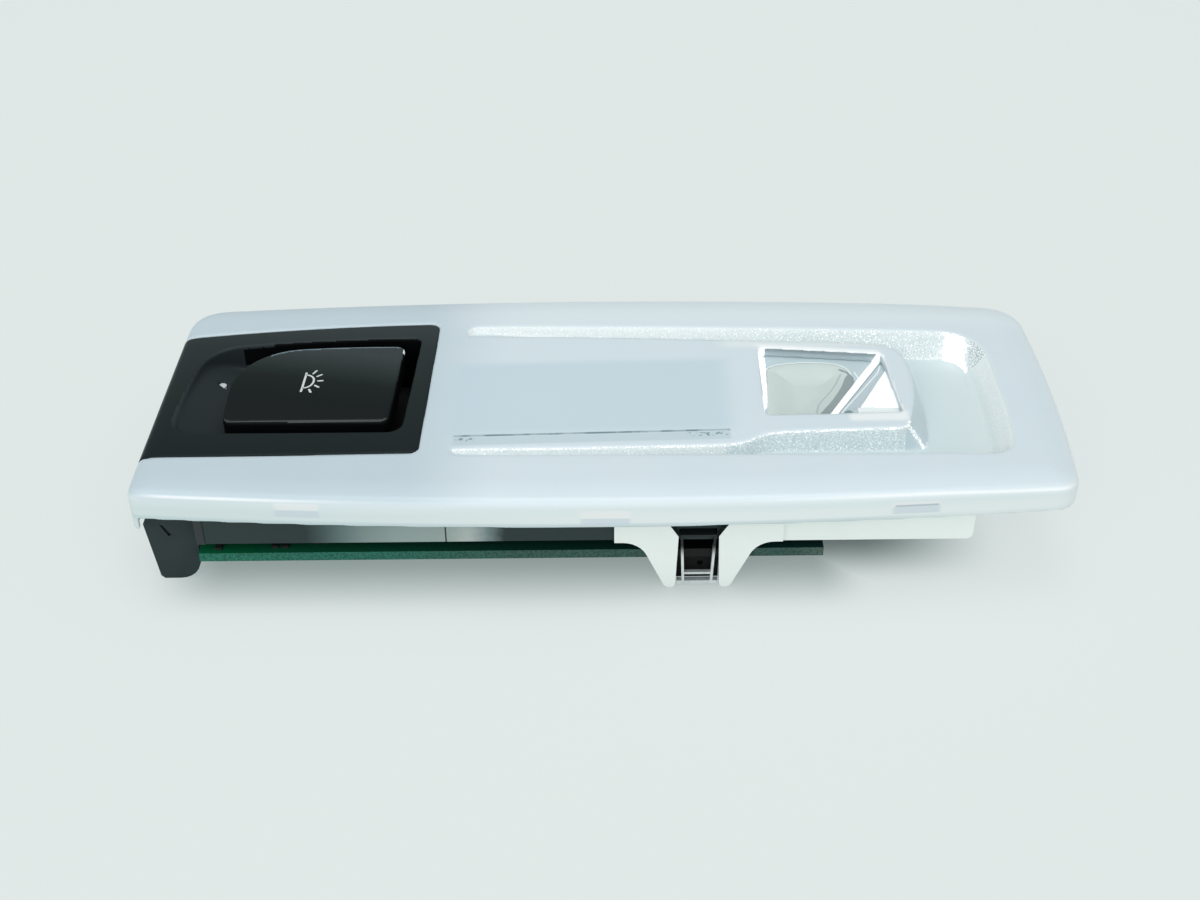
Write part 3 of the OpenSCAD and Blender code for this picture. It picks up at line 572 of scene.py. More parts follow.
black = soft_black("bezel_black", [
    (0.0, (0.005, 0.0115, 0.0135)), (0.45, (0.010, 0.018, 0.018)), (0.85, (0.018, 0.029, 0.030)),
    (1.0, (0.030, 0.042, 0.044))], 0.42, 0.05, -0.022, 0.024)
scoop = soft_black("scoop_black", [(0.0, (0.021, 0.031, 0.033)), (1.0, (0.027, 0.037, 0.040))], 0.45)
key_top = soft_black("key_black", [
    (0.02, (0.003, 0.006, 0.007)), (0.27, (0.001, 0.005, 0.005)), (0.54, (0.0045, 0.0105, 0.0100)),
    (0.65, (0.012, 0.022, 0.021)), (0.76, (0.022, 0.032, 0.032)), (0.93, (0.037, 0.050, 0.053))], 0.5, 0.2)
# Painted highlights on the key's near and far edges, and a glowing painted glint at its far right corner
near_edge_highlight = plastic("key_near_highlight", (0.040, 0.050, 0.052), 0.4, 0.04, tint=0.1, spec=0.3)
far_edge_highlight = plastic("key_far_highlight", (0.150, 0.220, 0.255), 0.35, 0.04, tint=0.1, spec=0.4)
spark = plastic("edge_glint", (0.80, 0.84, 0.86), 0.3, glow=0.3)

# The island's top outline, and how far its foot stands out for each millimetre of depth
ISLAND = [
    (-36, -20.5, 0, -0.05), (-36, -20.5, 0, -0.05), (-6.5, -20.5, 0, -0.1), (11.4, -20.2, 0, -0.1),
    (18, -20.0, 0, -0.15), (22.9, -19.8, 0, -0.15), (26.4, -19.0, 0, -0.15), (28.9, -17.3, 0, -0.15),
    (31.6, -16.0, 0, -0.14), (36.5, -15.5, 0, -0.14), (47, -15.05, 0, -0.14), (56.6, -14.7, 0.1, -0.14),
    (58.0, -14.6, 0.3, -0.2), (59.3, -13.2, 0.78, -0.4), (60.8, -8.4, 0.65, -0.2), (62, -3.5, 0.5, 0),
    (62.4, 1.6, 0.46, 0), (62.5, 9.2, 0.42, 0.1), (61.4, 13.6, 0.6, 0.5), (58.6, 16.0, 0.3, 0.35),
    (53, 17.1, 0, 0.3), (31, 18.3, 0, 0.3), (0, 20.2, 0, 0.25), (-36, 21.4, 0, 0.2), (-36, 21.4, 0, 0.2)]


def island(deep):
    """The island's outline as it stands that deep below the top."""
    return chaikin([(x + sx * deep, y + sy * deep) for x, y, sx, sy in ISLAND], 2)


def shell(X, Y, Z):
    """The cover's outer skin, the hollow inside it and the lip at its left end."""
    x, y = X[:, :, 0], Y[:, :, 0]
    P = dist(soft_quad(PANEL, 20), x, y)[:, :, None]
    zt = TOP - drop(X) - crown(dist(soft_quad(LONG_PANEL, 20), x, y)[:, :, None])
    outer = rmax(rmax(P, Z - zt, EDGE_ROUND), RIM - Z, LOW_ROUND)
    inner = rmax(P + WALL, Z - TOP + drop(X) + WALL, 0.6)
    lip = np.maximum(np.maximum(P, -(P + LIP_T)), np.maximum(np.maximum(X - LIP_X, LIP - Z), Z - RIM - 0.6))
    return outer, inner, lip


def numbered(looks):
    """The number of each look by its name, and the looks as a list."""
    return {k: i for i, k in enumerate(looks)}, list(looks.values())


def cover():
    """Milky cover with its recess, island and window, and the gap that the black field fills."""
    ISLE_DEEP, PLATE, EDGE_BAND = 6, 1.4, 0.24
    axes, X, Y, Z = grid((-93, -37, LIP), (91.5, 37, TOP), (0.5, 0.5, 0.34))
    R = dist(soft_quad(RECESS), X, Y)[:, :, None]
    I0 = dist(island(0), X, Y)[:, :, None]
    I6 = dist(island(ISLE_DEEP), X, Y)[:, :, None]
    W = dist(soft_quad(WINDOW), X, Y)[:, :, None]
    B = dist(soft_quad(BEZEL), X, Y)[:, :, None]
    X3 = X[:, :, None]
    outer, inner, lip = shell(X3, Y[:, :, None], Z)
    t = TOP - Z

    wall = (R + DRAFT * t) / sqrt(1 + DRAFT ** 2)
    floor = TOP - depth(X3) - Z
    basin = rmax(wall, floor, 0.8)
    isle = I0 + (I6 - I0) * np.clip(t, 0, ISLE_DEEP) / ISLE_DEEP
    pocket = rmax(basin, -isle, 0.4)
    body = np.minimum(np.maximum(outer, -inner), lip)
    body = np.minimum(body, np.maximum(basin - 1.6, outer + 0.4))
    body = np.maximum(body, -np.maximum(isle + PLATE, Z - TOP + WALL))
    body = rmax(body, -pocket, 0.45)
    body = rmax(body, -B, 0.2)
    body = np.where(Z > 23.6, rmax(body, -W, 0.25), np.maximum(body, -W))

    kind, looks = numbered({
        "face": milky,
        "rough": pebbled,
        "floor": tinted_cover("recess_floor", (0.625, 0.755, 0.785), (0.69, 0.80, 0.805), 0, 0.055, 0.085),
        "flank": tinted_cover("island_flank", (0.56, 0.68, 0.72), (0.66, 0.78, 0.82), 1, -0.014, 0.012),
        "right": pebbled_material("recess_wall", (0.80, 0.89, 0.90), (0.86, 0.94, 0.945), 0.66, 0.1,
                                  foot=(0.70, 0.81, 0.82)),
        "near": pebbled_material("pebbles_grey", (0.60, 0.72, 0.75), (0.80, 0.89, 0.91), 0.62, 0.25),
        # Painted highlight for the island's near edges
        "edge": pebbled_material("pebbles_edge_highlight", (0.62, 0.73, 0.76), (0.90, 0.96, 0.97), 0.50, 0.4),
        "hole": window_wall(),
        "hole_side": tinted_cover("window_side", (0.42, 0.52, 0.55), (0.9, 0.94, 0.95), 2, 0.0240, 0.0247),
        # Painted highlight along the window's far rim, glowing a little by emission
        "hole_rim": tinted_cover("window_rim_highlight", (0.88, 0.94, 0.95), (0.92, 0.97, 0.98), 0, 0.03, 0.06, glow=0.1),
    })

    def classify(c, n):
        x, y, z = c[:, 0], c[:, 1], c[:, 2]
        up = n[:, 2]
        d = dist(soft_quad(RECESS), x, y)
        i0 = dist(island(0), x, y)
        w = dist(soft_quad(WINDOW), x, y)
        out = np.zeros(len(c))
        out[(d < 0.2) & (i0 > 0.2) & (up >= 0.9) & (z < TOP - 0.3) & (z > RIM)] = kind["floor"]
        rough = (up < 0.93) & (up > -0.1) & (z < TOP - 0.12) & (d < 0.4) & (i0 > -0.25) & (z > RIM)
        right = (x > 66) & (d > -6) & (y < 12)
        flank = (x > 58.6) & (i0 < 3.8) & (y < 18) & (i0 < -d)
        out[rough & right] = kind["right"]
        out[rough & flank] = kind["flank"]
        out[rough & ~right & ~flank] = kind["rough"]
        out[rough & ~right & ~flank & (y < 0) & (x > 22.5)] = kind["near"]
        # Painted highlights: the island's near top edge and the arris at its near right corner
        arris = np.abs(x - 58.7 - 0.75 * (TOP - z)) < 0.4
        out[rough & arris & (y < -13)] = kind["edge"]
        top_edge = (i0 > -EDGE_BAND) & (i0 < 0.16) & (z > TOP - 0.6) & (up > 0.5)
        out[top_edge & (y < -12) & (x > -31) & (x < 60)] = kind["edge"]
        hole = (w < 0.3) & (up < 0.75) & (z < TOP - 0.08)
        out[hole] = kind["hole"]
        out[hole & (n[:, 0] < -0.6)] = kind["hole_side"]
        # The window's far rim takes the painted highlight
        rim = (w < 0.28) & (z > TOP - 0.22) & (up > 0.1) & (x > 30)
        out[rim & (y > 10)] = kind["hole_rim"]
        return out

    obj = form("milky_lens", np.ascontiguousarray(body), axes, looks, 190000, classify)
    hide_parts("lens_cover")
    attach(obj, "lamp")


def bezel():
    """Black field at the left end with its well, finger scoop, skirt and the hole for the mark."""
    GAP, SKIRT = 0.06, 1.3
    axes, X, Y, Z = grid((-93, -23, DECK), (-36, 29, TOP), (0.36, 0.36, 0.36))
    B = dist(soft_quad(BEZEL), X, Y)[:, :, None] + GAP
    V = dist(soft_quad(WELL), X, Y)[:, :, None]
    X3, Y3 = X[:, :, None], Y[:, :, None]
    outer, inner, lip = shell(X3, Y3, Z)
    plate = rmax(np.minimum(np.maximum(outer, -inner), lip), B, 0.25)
    skirt = np.maximum(np.maximum(V - SKIRT, Z - TOP + 1), DECK - Z)
    body = np.minimum(plate, skirt)
    over = np.sqrt((X3 - SCOOP_X) ** 2 + (Z - SCOOP_LOW - SCOOP_R) ** 2) - SCOOP_R
    over = np.where(Z > SCOOP_LOW + SCOOP_R, -1.0, over)
    rest = np.maximum(np.maximum(X3 - SCOOP_X, SCOOP_LOW - SCOOP_T - Z), -over)
    air = rmax(V, -rest, 0.9)
    body = rmax(body, -air, 0.5)
    cut = np.maximum(np.maximum(X3 + 77.0, DECK - 1 - Z), Z - (SCOOP_LOW - SCOOP_T))
    body = np.maximum(body, -cut)
    mark = chaikin([(GUIDE[0] + u, GUIDE[1] + v) for u, v in MARK], 2)
    body = np.maximum(body, -dist(mark, X, Y)[:, :, None])
    kind, looks = numbered({"face": black, "well": shaded_black, "scoop": scoop})

    def classify(c, n):
        v = dist(soft_quad(WELL), c[:, 0], c[:, 1])
        out = np.zeros(len(c))
        # Painted shade: the well's walls and all below the deck take the darker black
        out[(v < 0.35) & (n[:, 2] < 0.55)] = kind["well"]
        out[c[:, 2] < RIM - 2.2] = kind["well"]
        out[(v < 0.25) & (c[:, 0] < SCOOP_X + 0.8) & ((n[:, 2] > 0.05) | (c[:, 0] < -78))] = kind["scoop"]
        return out

    obj = form("switch_frame", np.ascontiguousarray(body), axes, looks, 120000, classify)
    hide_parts("switch_bezel")
    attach(obj, "lamp")


def key():
    """Press key, crowned and hollow below."""
    KEY_LOW, KEY_WALL, KEY_CROWN, KEY_SOFT = 21.1, 1.4, 0.25, 8
    axes, X, Y, Z = grid((-78, -12, KEY_LOW), (-42.5, 18, KEY_TOP), (0.3, 0.3, 0.3))
    K = dist(soft_quad(KEY), X, Y)[:, :, None]
    zt = KEY_TOP - KEY_CROWN * np.clip((K + KEY_SOFT) / KEY_SOFT, 0, 1) ** 2
    body = rmax(rmax(K, Z - zt, 0.8), KEY_LOW - Z, 0.2)
    body = np.maximum(body, -np.maximum(K + KEY_WALL, Z - KEY_TOP + 1.8))
    kind, looks = numbered({"top": key_top, "side": shaded_black, "near": near_edge_highlight, "far": far_edge_highlight, "glint": spark})

    def classify(c, n):
        x, y, z = c[:, 0], c[:, 1], c[:, 2]
        k = dist(soft_quad(KEY), x, y)
        out = np.zeros(len(c))
        # Painted shade: the key's sides take the darker black
        out[n[:, 2] < 0.62] = kind["side"]
        # Painted highlights on the near and far edges, and a painted glint at the far right corner
        out[(n[:, 2] >= 0.62) & (k > -0.5) & (n[:, 1] < -0.2)] = kind["near"]
        far = (k > -1.05) & (y > 8.5) & (x > -71) & (z > KEY_TOP - 1.3) & (n[:, 2] > 0.05)
        out[far & (n[:, 1] > n[:, 0])] = kind["far"]
        out[(k > -0.42) & (y > 13.9) & (y < 15.4) & (x > -44.3) & (z > KEY_TOP - 0.9)] = kind["glint"]
        return out

    obj = form("press_key", np.ascontiguousarray(body), axes, looks, 60000, classify)
    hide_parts("switch_button")
    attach(obj, "key")


def stroke(points, width):
    """Outline of a line of the given width with round ends."""
    p = np.array(points, float)
    left, right = [], []
    n = len(p)
    for i in range(n):
        d = p[min(i + 1, n - 1)] - p[max(i - 1, 0)]
        d = d / hypot(*d)
        s = np.array([-d[1], d[0]]) * width / 2
        left.append(p[i] + s)
        right.append(p[i] - s)
    d0 = (p[0] - p[1]) / hypot(*(p[0] - p[1])) * width / 2
    d1 = (p[-1] - p[-2]) / hypot(*(p[-1] - p[-2])) * width / 2
    return [p[0] + d0 * 0.9] + left + [p[-1] + d1 * 0.9] + right[::-1]


def symbol():
    """Lamp symbol on the key: a half round with five rays."""
    LIFT = 0.012
    lines = [
        ([(-62.66, 5.9), (-62.74, 3.4), (-62.8, 1.8), (-62.84, 0.4), (-62.94, -1.0)], 0.46),
        ([(-62.6, 5.15), (-61.8, 4.9), (-61.2, 4.35), (-60.82, 3.5), (-60.8, 2.4), (-61.1, 1.4), (-61.6, 0.75),
          (-62.15, 0.4), (-62.75, 0.35)], 0.42),
        ([(-61.3, 5.5), (-60.65, 6.75)], 0.4), ([(-60.35, 4.5), (-59.4, 5.2)], 0.4),
        ([(-59.95, 2.86), (-58.95, 2.95)], 0.46), ([(-60.4, 1.25), (-59.5, 0.5)], 0.44),
        ([(-61.36, -0.25), (-60.9, -1.3)], 0.46)]
    verts, faces = [], []
    for pts, w in lines:
        p = np.array(pts, float)
        if len(p) > 3:
            q = [p[0]]
            for i in range(len(p) - 1):
                q += [0.75 * p[i] + 0.25 * p[i + 1], 0.25 * p[i] + 0.75 * p[i + 1]]
            p = np.array(q + [p[-1]])
        o = stroke(p, w)
        n = len(p)
        base = len(verts)
        verts += [(x, y, KEY_TOP + LIFT) for x, y in o]
        # o is start cap, n left points, end cap, n right points in reverse
        L = [base + 1 + i for i in range(n)]
        R = [base + 2 * n + 1 - i for i in range(n)]
        for i in range(n - 1):
            faces.append((R[i], R[i + 1], L[i + 1], L[i]))
        faces.append((base, R[0], L[0]))
        faces.append((base + n + 1, L[-1], R[-1]))
    # The symbol's light grey print glows a little by emission: painted light
    obj = new_mesh("key_symbol", verts, faces, [plastic("symbol_white", (0.56, 0.61, 0.60), 0.6, glow=0.12)], False)
    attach(obj, "key")


# The dish in millimetres: its height and grid, and how far its outlines are shifted for that height
DISH_Z, DISH_STEP, DISH_SHIFT = 22.62, 0.15, 0.37
# Outlines on the dish: some shape it, and all mark its painted reflections, shade and highlights
BOWL = [(32.7, 9.4), (33.2, 11.0), (34.7, 12.1), (37.7, 12.9), (41.8, 13.2), (46.0, 12.9), (49.0, 12.0), (50.6, 9.6),
        (50.6, 6.4), (50.1, 4.0), (48.3, 0.3), (46.3, -2.9), (44.6, -5.7), (44.0, -9.0), (31.9, -9.4), (32.2, -3.2)]
LEFT_BAR = [(31.0, 16.2), (33.2, 15.6), (33.1, 12.0), (32.2, -2.9), (31.6, -4.4), (30.6, -4.4)]
BOWL_SHADE = [(50.1, 8.6), (50.9, 6.0), (50.5, 4.0), (49.9, 2.6), (48.0, -1.6), (46.4, -4.1), (44.8, -6.6),
              (41.4, -6.9), (43.4, -4.4), (45.1, -1.8), (46.7, 1.1), (48.3, 4.4), (49.2, 7.2)]
BOWL_STROKE = [(48.6, 8.9), (47.5, 6.5), (46.1, 3.6), (44.2, 0.8), (42.8, -1.5), (42.0, -5.2)]
BOWL_DARK = [(48.6, 10.4), (49.9, 9.2), (50.7, 7.3), (50.8, 5.7), (50.2, 3.9), (48.9, 1.2)]
BOWL_GLINT = [(51.5, 9.2), (52.0, 7.0), (51.6, 4.6)]
RIDGE = [(57.2, 15.9), (58.5, 15.6), (58.3, 14.4), (46.2, -5.8), (45.2, -8.8), (43.2, -8.8), (44.8, -5.7)]
RIDGE_LINE = [(46.4, -5.8), (58.4, 14.4)]
SLOPE = [(58.4, 14.9), (58.9, 13.6), (57.5, 9.2), (51.2, -3.7), (49.1, -5.3), (48.4, -8.8), (45.2, -8.8), (46.2, -5.8)]
SLOPE_LINE = [(57.3, 11.8), (56.4, 9.2), (47.4, -4.8), (46.2, -7.5)]
SPOT = [(47.3, -5.2), (48.8, -4.1), (49.4, -5.8), (48.0, -6.8)]
FACET = [(58.2, 9.9), (58.6, 9.2), (59.4, -4.1), (51.1, -3.8)]
FRAME_LINE = [(58.5, 14.0), (59.0, 9.9), (59.5, -2.2)]


def near_line(points, X, Y, width):
    """Whether a place lies on a line of that width through the points."""
    best = np.full(X.shape, 1e9)
    for (ax, ay), (bx, by) in zip(points, points[1:]):
        ex, ey = bx - ax, by - ay
        t = np.clip(((X - ax) * ex + (Y - ay) * ey) / (ex * ex + ey * ey), 0, 1)
        best = np.minimum(best, np.hypot(X - ax - t * ex, Y - ay - t * ey))
    return best < width / 2


def reflector():
    """Metallised dish with its bowl, ridge, slope and bright facet, close under the window, coloured with painted
    reflections, shade and highlights that glow a little by emission.
    """
    THICK, BORDER = 0.5, 0.55
    X, Y = np.meshgrid(np.arange(30.3, 59.9, DISH_STEP), np.arange(-10.2, 16.4, DISH_STEP), indexing="ij")
    outline = dist(soft_quad(WINDOW), X, Y)

    def inward(poly, reach):
        """0 on an outline, 1 from reach inside it."""
        u = np.clip(-dist(poly, X, Y + DISH_SHIFT) / reach, 0, 1)
        return u ** 2 * (3 - 2 * u)

    raised = 0.12 * inward(chaikin(RIDGE, 1), 0.5) + 0.08 * inward(FACET, 0.5)
    Z = DISH_Z - 1.6 * inward(chaikin(BOWL, 2), 7) - 0.25 * inward(chaikin(SLOPE, 1), 0.8)
    Z = Z + np.clip(-outline / 0.6, 0, 1) * raised
    keep = outline < BORDER
    number = -np.ones(X.shape, int)
    number[keep] = np.arange(keep.sum())
    q = np.stack([number[:-1, :-1], number[1:, :-1], number[1:, 1:], number[:-1, 1:]], -1).reshape(-1, 4)
    q = q[(q >= 0).all(1)]
    verts = np.stack([X[keep], Y[keep], Z[keep]], 1)
    n = len(verts)
    verts = np.concatenate([verts, verts - [0, 0, THICK]])
    e = np.concatenate([q[:, [0, 1]], q[:, [1, 2]], q[:, [2, 3]], q[:, [3, 0]]])
    seen = set(map(tuple, e))
    sides = [(b, a, a + n, b + n) for a, b in seen if (b, a) not in seen]
    faces = np.concatenate([q, q[:, ::-1] + n, np.array(sides)])
    # Painted reflections, shade and highlights of the dish, each glowing a little by emission
    colors = {
        "bowl": (0.545, 0.635, 0.61), "wall": (0.42, 0.52, 0.55), "white": (0.93, 0.96, 0.97),
        "shade": (0.235, 0.30, 0.30), "stroke": (0.40, 0.48, 0.47), "slope": (0.45, 0.55, 0.59),
        "light": (0.80, 0.87, 0.88), "spot": (0.14, 0.24, 0.26), "dark": (0.21, 0.27, 0.29)}
    glow = {"white": 0.45, "wall": 0.25}
    kind, looks = numbered({
        k: plastic("dish_reflection_" + k, c, 0.34, 0.05, tint=0.02, glow=glow.get(k, 0.12)) for k, c in colors.items()})
    obj = new_mesh("bowl", verts, faces, looks)
    c = verts[faces].mean(1)
    x, y = c[:, 0], c[:, 1] + DISH_SHIFT
    inside = lambda poly, rounds=1: dist(chaikin(poly, rounds), x, y) < 0
    m = np.full(len(faces), kind["wall"])
    b = dist(chaikin(BOWL, 2), x, y)
    m[b < 0] = kind["bowl"]
    m[(b > -0.42) & (b < 0) & (y > 5)] = kind["stroke"]
    m[(np.abs(b) < 0.15) & (y > 5)] = kind["light"]
    m[near_line(BOWL_STROKE, x, y, 0.45) & (b < 0)] = kind["stroke"]
    m[inside(BOWL_SHADE)] = kind["shade"]
    m[near_line(BOWL_DARK, x, y, 0.5)] = kind["dark"]
    m[near_line(BOWL_GLINT, x, y, 0.28)] = kind["light"]
    m[inside(SLOPE)] = kind["slope"]
    m[near_line(SLOPE_LINE, x, y, 0.26)] = kind["light"]
    m[inside(SPOT)] = kind["spot"]
    m[inside(FACET, 0)] = kind["white"]
    m[(y < -4.0) & (x > 50.4)] = kind["light"]
    m[inside(RIDGE)] = kind["white"]
    m[near_line(RIDGE_LINE, x, y, 0.2)] = kind["dark"]
    m[near_line(FRAME_LINE, x, y, 0.3)] = kind["dark"]
    m[inside(LEFT_BAR)] = kind["white"]
    obj.data.polygons.foreach_set("material_index", m.astype(np.int32))
    obj.data.update()
    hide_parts("spot_reflector")
    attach(obj, "lamp")


def end_filler(side):
    """Black plate that closes the slot between the end bracket and the switch housing."""
    lo, hi = (-80.8, 28.9, 10.05), (-78.9, 31.0, 17.7)
    v = [(x, side * y, z) for x in (lo[0], hi[0]) for y in (lo[1], hi[1]) for z in (lo[2], hi[2])]
    f = [(0, 1, 3, 2), (4, 6, 7, 5), (0, 4, 5, 1), (2, 3, 7, 6), (0, 2, 6, 4), (1, 5, 7, 3)]
    if side < 0:
        f = [q[::-1] for q in f]
    name = "end_filler_near" if side < 0 else "end_filler_far"
    obj = new_mesh(name, v, f, [plastic("filler_black", (0.016, 0.028, 0.028), 0.6, grain=0.4)], False)
    m = obj.modifiers.new("edges", "BEVEL")
    m.width, m.segments = 0.0003, 3
    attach(obj, "lamp")


cover()
bezel()
key()
symbol()
reflector()
end_filler(-1)
end_filler(1)


def board_material():
    """Green board, brighter at its left, with a pale fibrous edge; black where a clip tower hides it from the light."""
    m, t, b = tree("board_green")
    x, y, _ = parts(t)
    up = t.nodes.new("ShaderNodeNewGeometry").outputs["Normal"]
    flat = step(t, parts(t, up)[2], 0.4, 0.7)
    run = op(t, "DIVIDE", op(t, "ADD", x, 0.081), 0.125)
    top = ramp(t, run, [
        (0.0, (0.001, 0.13, 0.048)), (0.18, (0.004, 0.085, 0.042)), (0.45, (0.004, 0.045, 0.028)),
        (0.8, (0.005, 0.028, 0.024))])
    side = ramp(t, run, [
        (0.0, (0.012, 0.135, 0.088)), (0.3, (0.016, 0.125, 0.085)), (0.5, (0.030, 0.088, 0.068)),
        (0.93, (0.030, 0.078, 0.064)), (1.0, (0.075, 0.11, 0.09))])
    fibres = scaled(t, step(t, noise(t, 2200, 3, 0.7), 0.36, 0.64), 0.62, 1.38)
    col = mix(t, flat, mix(t, 1.0, side, fibres, "MULTIPLY"), top)
    tower = times(t, band(t, x, 0.0115, 0.0219, 0.0003), step(t, op(t, "ABSOLUTE", y), 0.025, 0.027))
    link(t, mix(t, tower, col, (0.001, 0.0025, 0.002)), b.inputs["Base Color"])
    link(t, scaled(t, noise(t, 500, 4), 0.36, 0.5), b.inputs["Roughness"])
    b.inputs["Specular IOR Level"].default_value = 0.25
    bump(t, b, noise(t, 3000, 2), 0.3, 0.0001)
    return m


def clip_material():
    """Spring steel, in the dark towards the top of its tower."""
    m, t, b = tree("spring_steel_clip")
    z = parts(t)[2]
    lit = mix(t, noise(t, 700, 4), (0.62, 0.66, 0.67), (0.92, 0.95, 0.95))
    dark = step(t, z, 0.0068, 0.0102)
    link(t, mix(t, dark, lit, (0.012, 0.015, 0.016)), b.inputs["Base Color"])
    b.inputs["Specular IOR Level"].default_value = 0.3
    link(t, scaled(t, noise(t, 900, 4), 0.25, 0.42), b.inputs["Roughness"])
    link(t, scaled(t, dark, 0.6, 0.0), b.inputs["Metallic"])
    return m


def carrier_material():
    """White moulding; the inner sides of its clip towers lie in the dark, their right flanks in the light."""
    m, t, b = tree("carrier_white")
    x, _, z = parts(t)
    across = parts(t, t.nodes.new("ShaderNodeNewGeometry").outputs["Normal"])[0]
    inner = times(t, band(t, x, 0.0095, 0.0240, 0.0003), step(t, op(t, "ABSOLUTE", across), 0.3, 0.5),
                  step(t, z, 0.0080, 0.0120))
    white = ramp(t, noise(t, 120, 4), [(0.3, (0.85, 0.915, 0.885)), (0.7, (0.87, 0.94, 0.91))])
    link(t, mix(t, inner, white, (0.02, 0.026, 0.026)), b.inputs["Base Color"])
    link(t, scaled(t, noise(t, 400, 5), 0.35, 0.45), b.inputs["Roughness"])
    flank = op(t, "MULTIPLY", band(t, x, 0.0325, 0.0335, 0.0002), step(t, across, 0.3, 0.5))
    b.inputs["Emission Color"].default_value = (0.85, 0.93, 0.90, 1)
    link(t, op(t, "MULTIPLY", flank, 0.16), b.inputs["Emission Strength"])
    bump(t, b, noise(t, 1500, 3), 0.05, 0.0001)
    return m


DARK, SILVER = (0.018, 0.034, 0.034), (0.32, 0.395, 0.372)
STEEL = plastic("spring_steel", (0.62, 0.64, 0.65), 0.34, 0.08, metallic=0.8, grain=0.1)
CLIP = clip_material()
LOOKS = {
    "end_bracket": plastic("bracket_black", (0.019, 0.033, 0.034), 0.65, 0.08, grain=0.9, grain_scale=2600, tint=0.12,
                           spec=0.3),
    "switch_housing": strip_material("housing_grey", [
        (0.0, DARK), (0.42, DARK), (0.50, (0.06, 0.10, 0.10)), (0.584, (0.137, 0.20, 0.20)),
        (0.667, (0.22, 0.287, 0.282)), (0.80, (0.29, 0.37, 0.36)), (1.0, SILVER)], -0.0788, SEAM),
    "reflector_housing": strip_material("housing_silver", [
        (0.0, SILVER), (0.04, (0.44, 0.50, 0.48)), (0.052, (0.42, 0.48, 0.47)), (0.082, (0.19, 0.255, 0.26)),
        (0.115, DARK), (1.0, DARK)], SEAM, 0.066),
    "carrier_frame": carrier_material(),
    "light_diffuser": plastic("diffuser_white", (0.62, 0.72, 0.8), 0.5),
    "clip_backing": plastic("backing_black", (0.003, 0.004, 0.004), 0.6, grain=0.3, spec=0.15),
    "circuit_board": board_material(),
    "connector_shell": plastic("connector_black", (0.02, 0.02, 0.022), 0.5, grain=0.3),
    "connector_pins": plastic("contact_brass", (0.7, 0.62, 0.4), 0.3, metallic=1.0),
    "tact_switch": plastic("switch_black", (0.02, 0.02, 0.02), 0.45, grain=0.2),
    "tact_plunger": plastic("plunger_white", (0.65, 0.65, 0.62), 0.4),
    "locator_guide": plastic("light_pipe", (0.62, 0.70, 0.75), 0.2),
    "driver_chip": plastic("chip_black", (0.02, 0.02, 0.02), 0.5, grain=0.3),
    "chip_resistors": plastic("resistor_black", (0.02, 0.02, 0.02), 0.4),
    "chip_capacitors": plastic("capacitor_tan", (0.3, 0.2, 0.1), 0.5),
    "power_inductor": plastic("ferrite", (0.05, 0.05, 0.052), 0.6, grain=0.3),
}
for n in ("hinge_pin", "board_screws"):
    LOOKS[n] = STEEL
for n in ("spring_clip_near", "spring_clip_far"):
    LOOKS[n] = CLIP
for n in ("spot_led", "ambient_leds", "locator_led"):
    LOOKS[n] = plastic("led_yellow", (0.8, 0.72, 0.25), 0.3)

def clear_material():
    """Clear pane."""
    m, _, b = tree("clear_window")
    b.inputs["Base Color"].default_value = (0.80, 0.88, 0.90, 1)
    b.inputs["Roughness"].default_value = 0.04
    b.inputs["Alpha"].default_value = 0.05
    return m


LOOKS["window_lens"] = clear_material()
for name, look in LOOKS.items():
    NODE[name].data.materials.clear()
    NODE[name].data.materials.append(look)


def floor_material():
    """Pale floor with the lamp's soft shade painted in: a wide and a narrow part under the near side."""
    m, t, b = tree("floor")
    x, y, _ = parts(t)
    along = times(t, step(t, x, -0.093, -0.077), step(t, x, 0.080, 0.050), step(t, y, 0.040, 0.028))
    wide = times(t, step(t, y, -0.042, -0.0235), 0.50, step(t, x, 0.052, 0.040))
    narrow = times(t, step(t, y, -0.033, -0.018), 0.76)
    shade = times(t, op(t, "MAXIMUM", wide, narrow), along)
    # The painted shade is a little uneven
    shade_mottle = scaled(t, noise(t, 90, 4, 0.6), -0.07, 0.04)
    level = times(t, op(t, "SUBTRACT", 1.0, shade), op(t, "ADD", times(t, shade_mottle, shade), 1.0))
    b.inputs["Roughness"].default_value = 0.9
    b.inputs["Specular IOR Level"].default_value = 0.0
    link(t, mix(t, shade, (0.20, 0.205, 0.20), (0.02, 0.03, 0.03)), b.inputs["Base Color"])
    link(t, mix(t, shade, (0.735, 0.81, 0.80), (0.62, 0.83, 0.79)), b.inputs["Emission Color"])
    link(t, op(t, "MULTIPLY", level, 0.76), b.inputs["Emission Strength"])
    return m


new_mesh("floor", [(-2500, -1500, -0.02), (2500, -1500, -0.02), (2500, 3500, -0.02), (-2500, 3500, -0.02)],
                  [(0, 1, 2, 3)], [floor_material()], False)


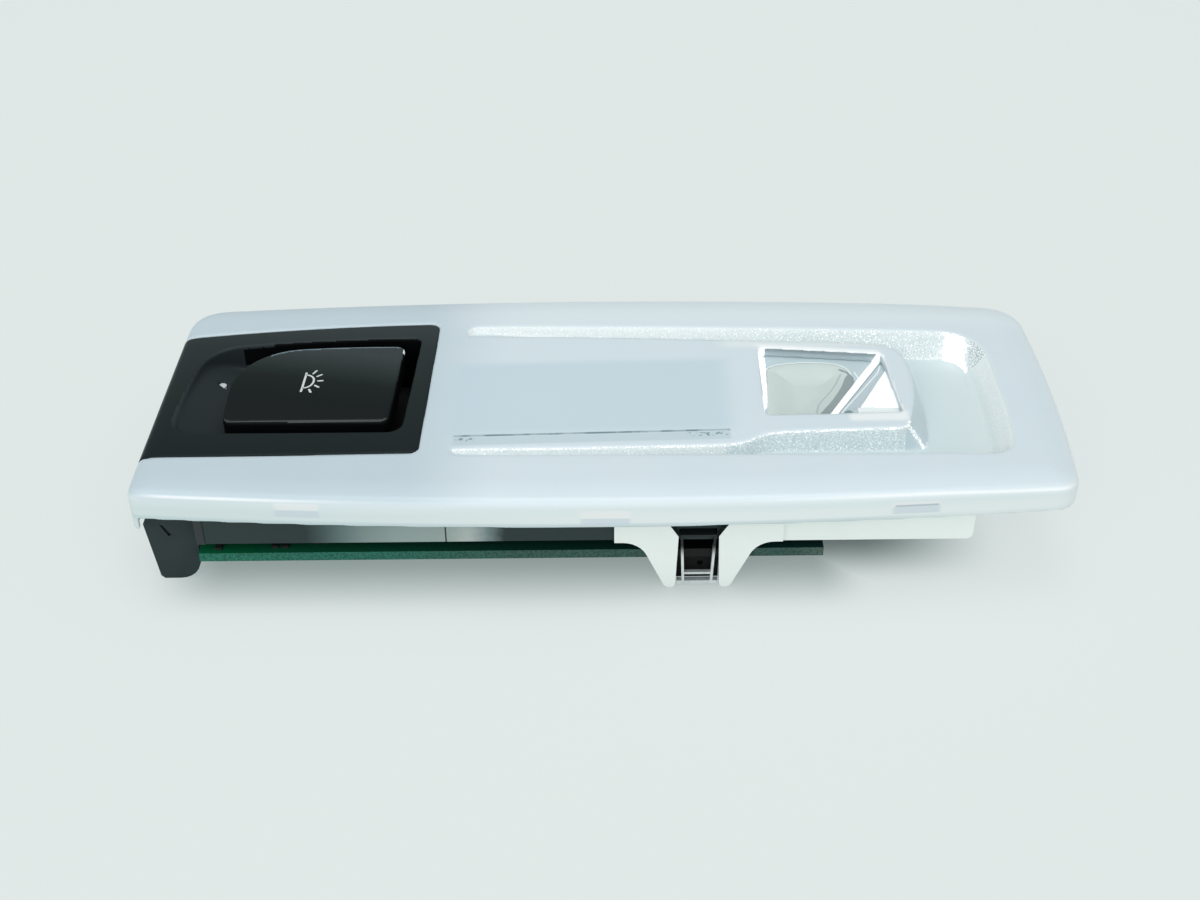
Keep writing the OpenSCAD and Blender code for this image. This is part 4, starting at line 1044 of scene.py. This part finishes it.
def room():
    """A white room, brighter in front and overhead."""
    world = bpy.data.worlds.new("room")
    bpy.context.scene.world = world
    world.use_nodes = True
    t = world.node_tree
    _, y, z = parts(t, t.nodes.new("ShaderNodeTexCoord").outputs["Generated"])
    front = op(t, "MULTIPLY", step(t, y, 0.15, -0.45), 0.52)
    over = op(t, "MULTIPLY", step(t, z, 0.62, 0.95), 0.55)
    background = t.nodes["Background"]
    link(t, op(t, "ADD", op(t, "ADD", 0.30, front), over), background.inputs["Strength"])
    background.inputs["Color"].default_value = (1, 1, 1, 1)


def area(name, loc, target, size, power):
    light = bpy.data.lights.new(name, "AREA")
    light.shape = "RECTANGLE"
    light.size, light.size_y = size
    light.energy = power
    o = bpy.data.objects.new(name, light)
    o.location = loc
    o.rotation_euler = (Vector(target) - Vector(loc)).to_track_quat("-Z", "Y").to_euler()
    bpy.context.scene.collection.objects.link(o)


def camera(place, elevation, azimuth, roll, width, focus):
    """Camera at place in millimetres; width is half the picture's and focus its distance, both in pixels."""
    data = bpy.data.cameras.new("camera")
    cam = bpy.data.objects.new("camera", data)
    bpy.context.scene.collection.objects.link(cam)
    bpy.context.scene.camera = cam
    el, az, ro = radians(elevation), radians(azimuth), radians(roll)
    fwd = Vector((sin(az) * cos(el), cos(az) * cos(el), -sin(el)))
    flat = Vector((cos(az), -sin(az), 0))
    steep = flat.cross(fwd)
    right = cos(ro) * flat + sin(ro) * steep
    up = -sin(ro) * flat + cos(ro) * steep
    cam.matrix_world = Matrix.Translation(Vector(place) * MM) @ Matrix(
        ((right.x, up.x, -fwd.x), (right.y, up.y, -fwd.y), (right.z, up.z, -fwd.z))).to_4x4()
    data.sensor_fit = "HORIZONTAL"
    data.angle = 2 * atan2(width, focus)
    data.clip_start = 0.01
    data.clip_end = 20


room()
area("top_light", (0.05, 0.05, 0.9), (0, 0, 0.02), (0.5, 0.35), 1.6)
area("front_light", (-0.45, -0.75, 0.55), (0, 0, 0.02), (0.3, 0.3), 1.2)
camera((-3.75, -277.59, 211.20), 36, 0.35, -0.35, 600, 1632.39)
bpy.context.scene.view_settings.view_transform = "Standard"
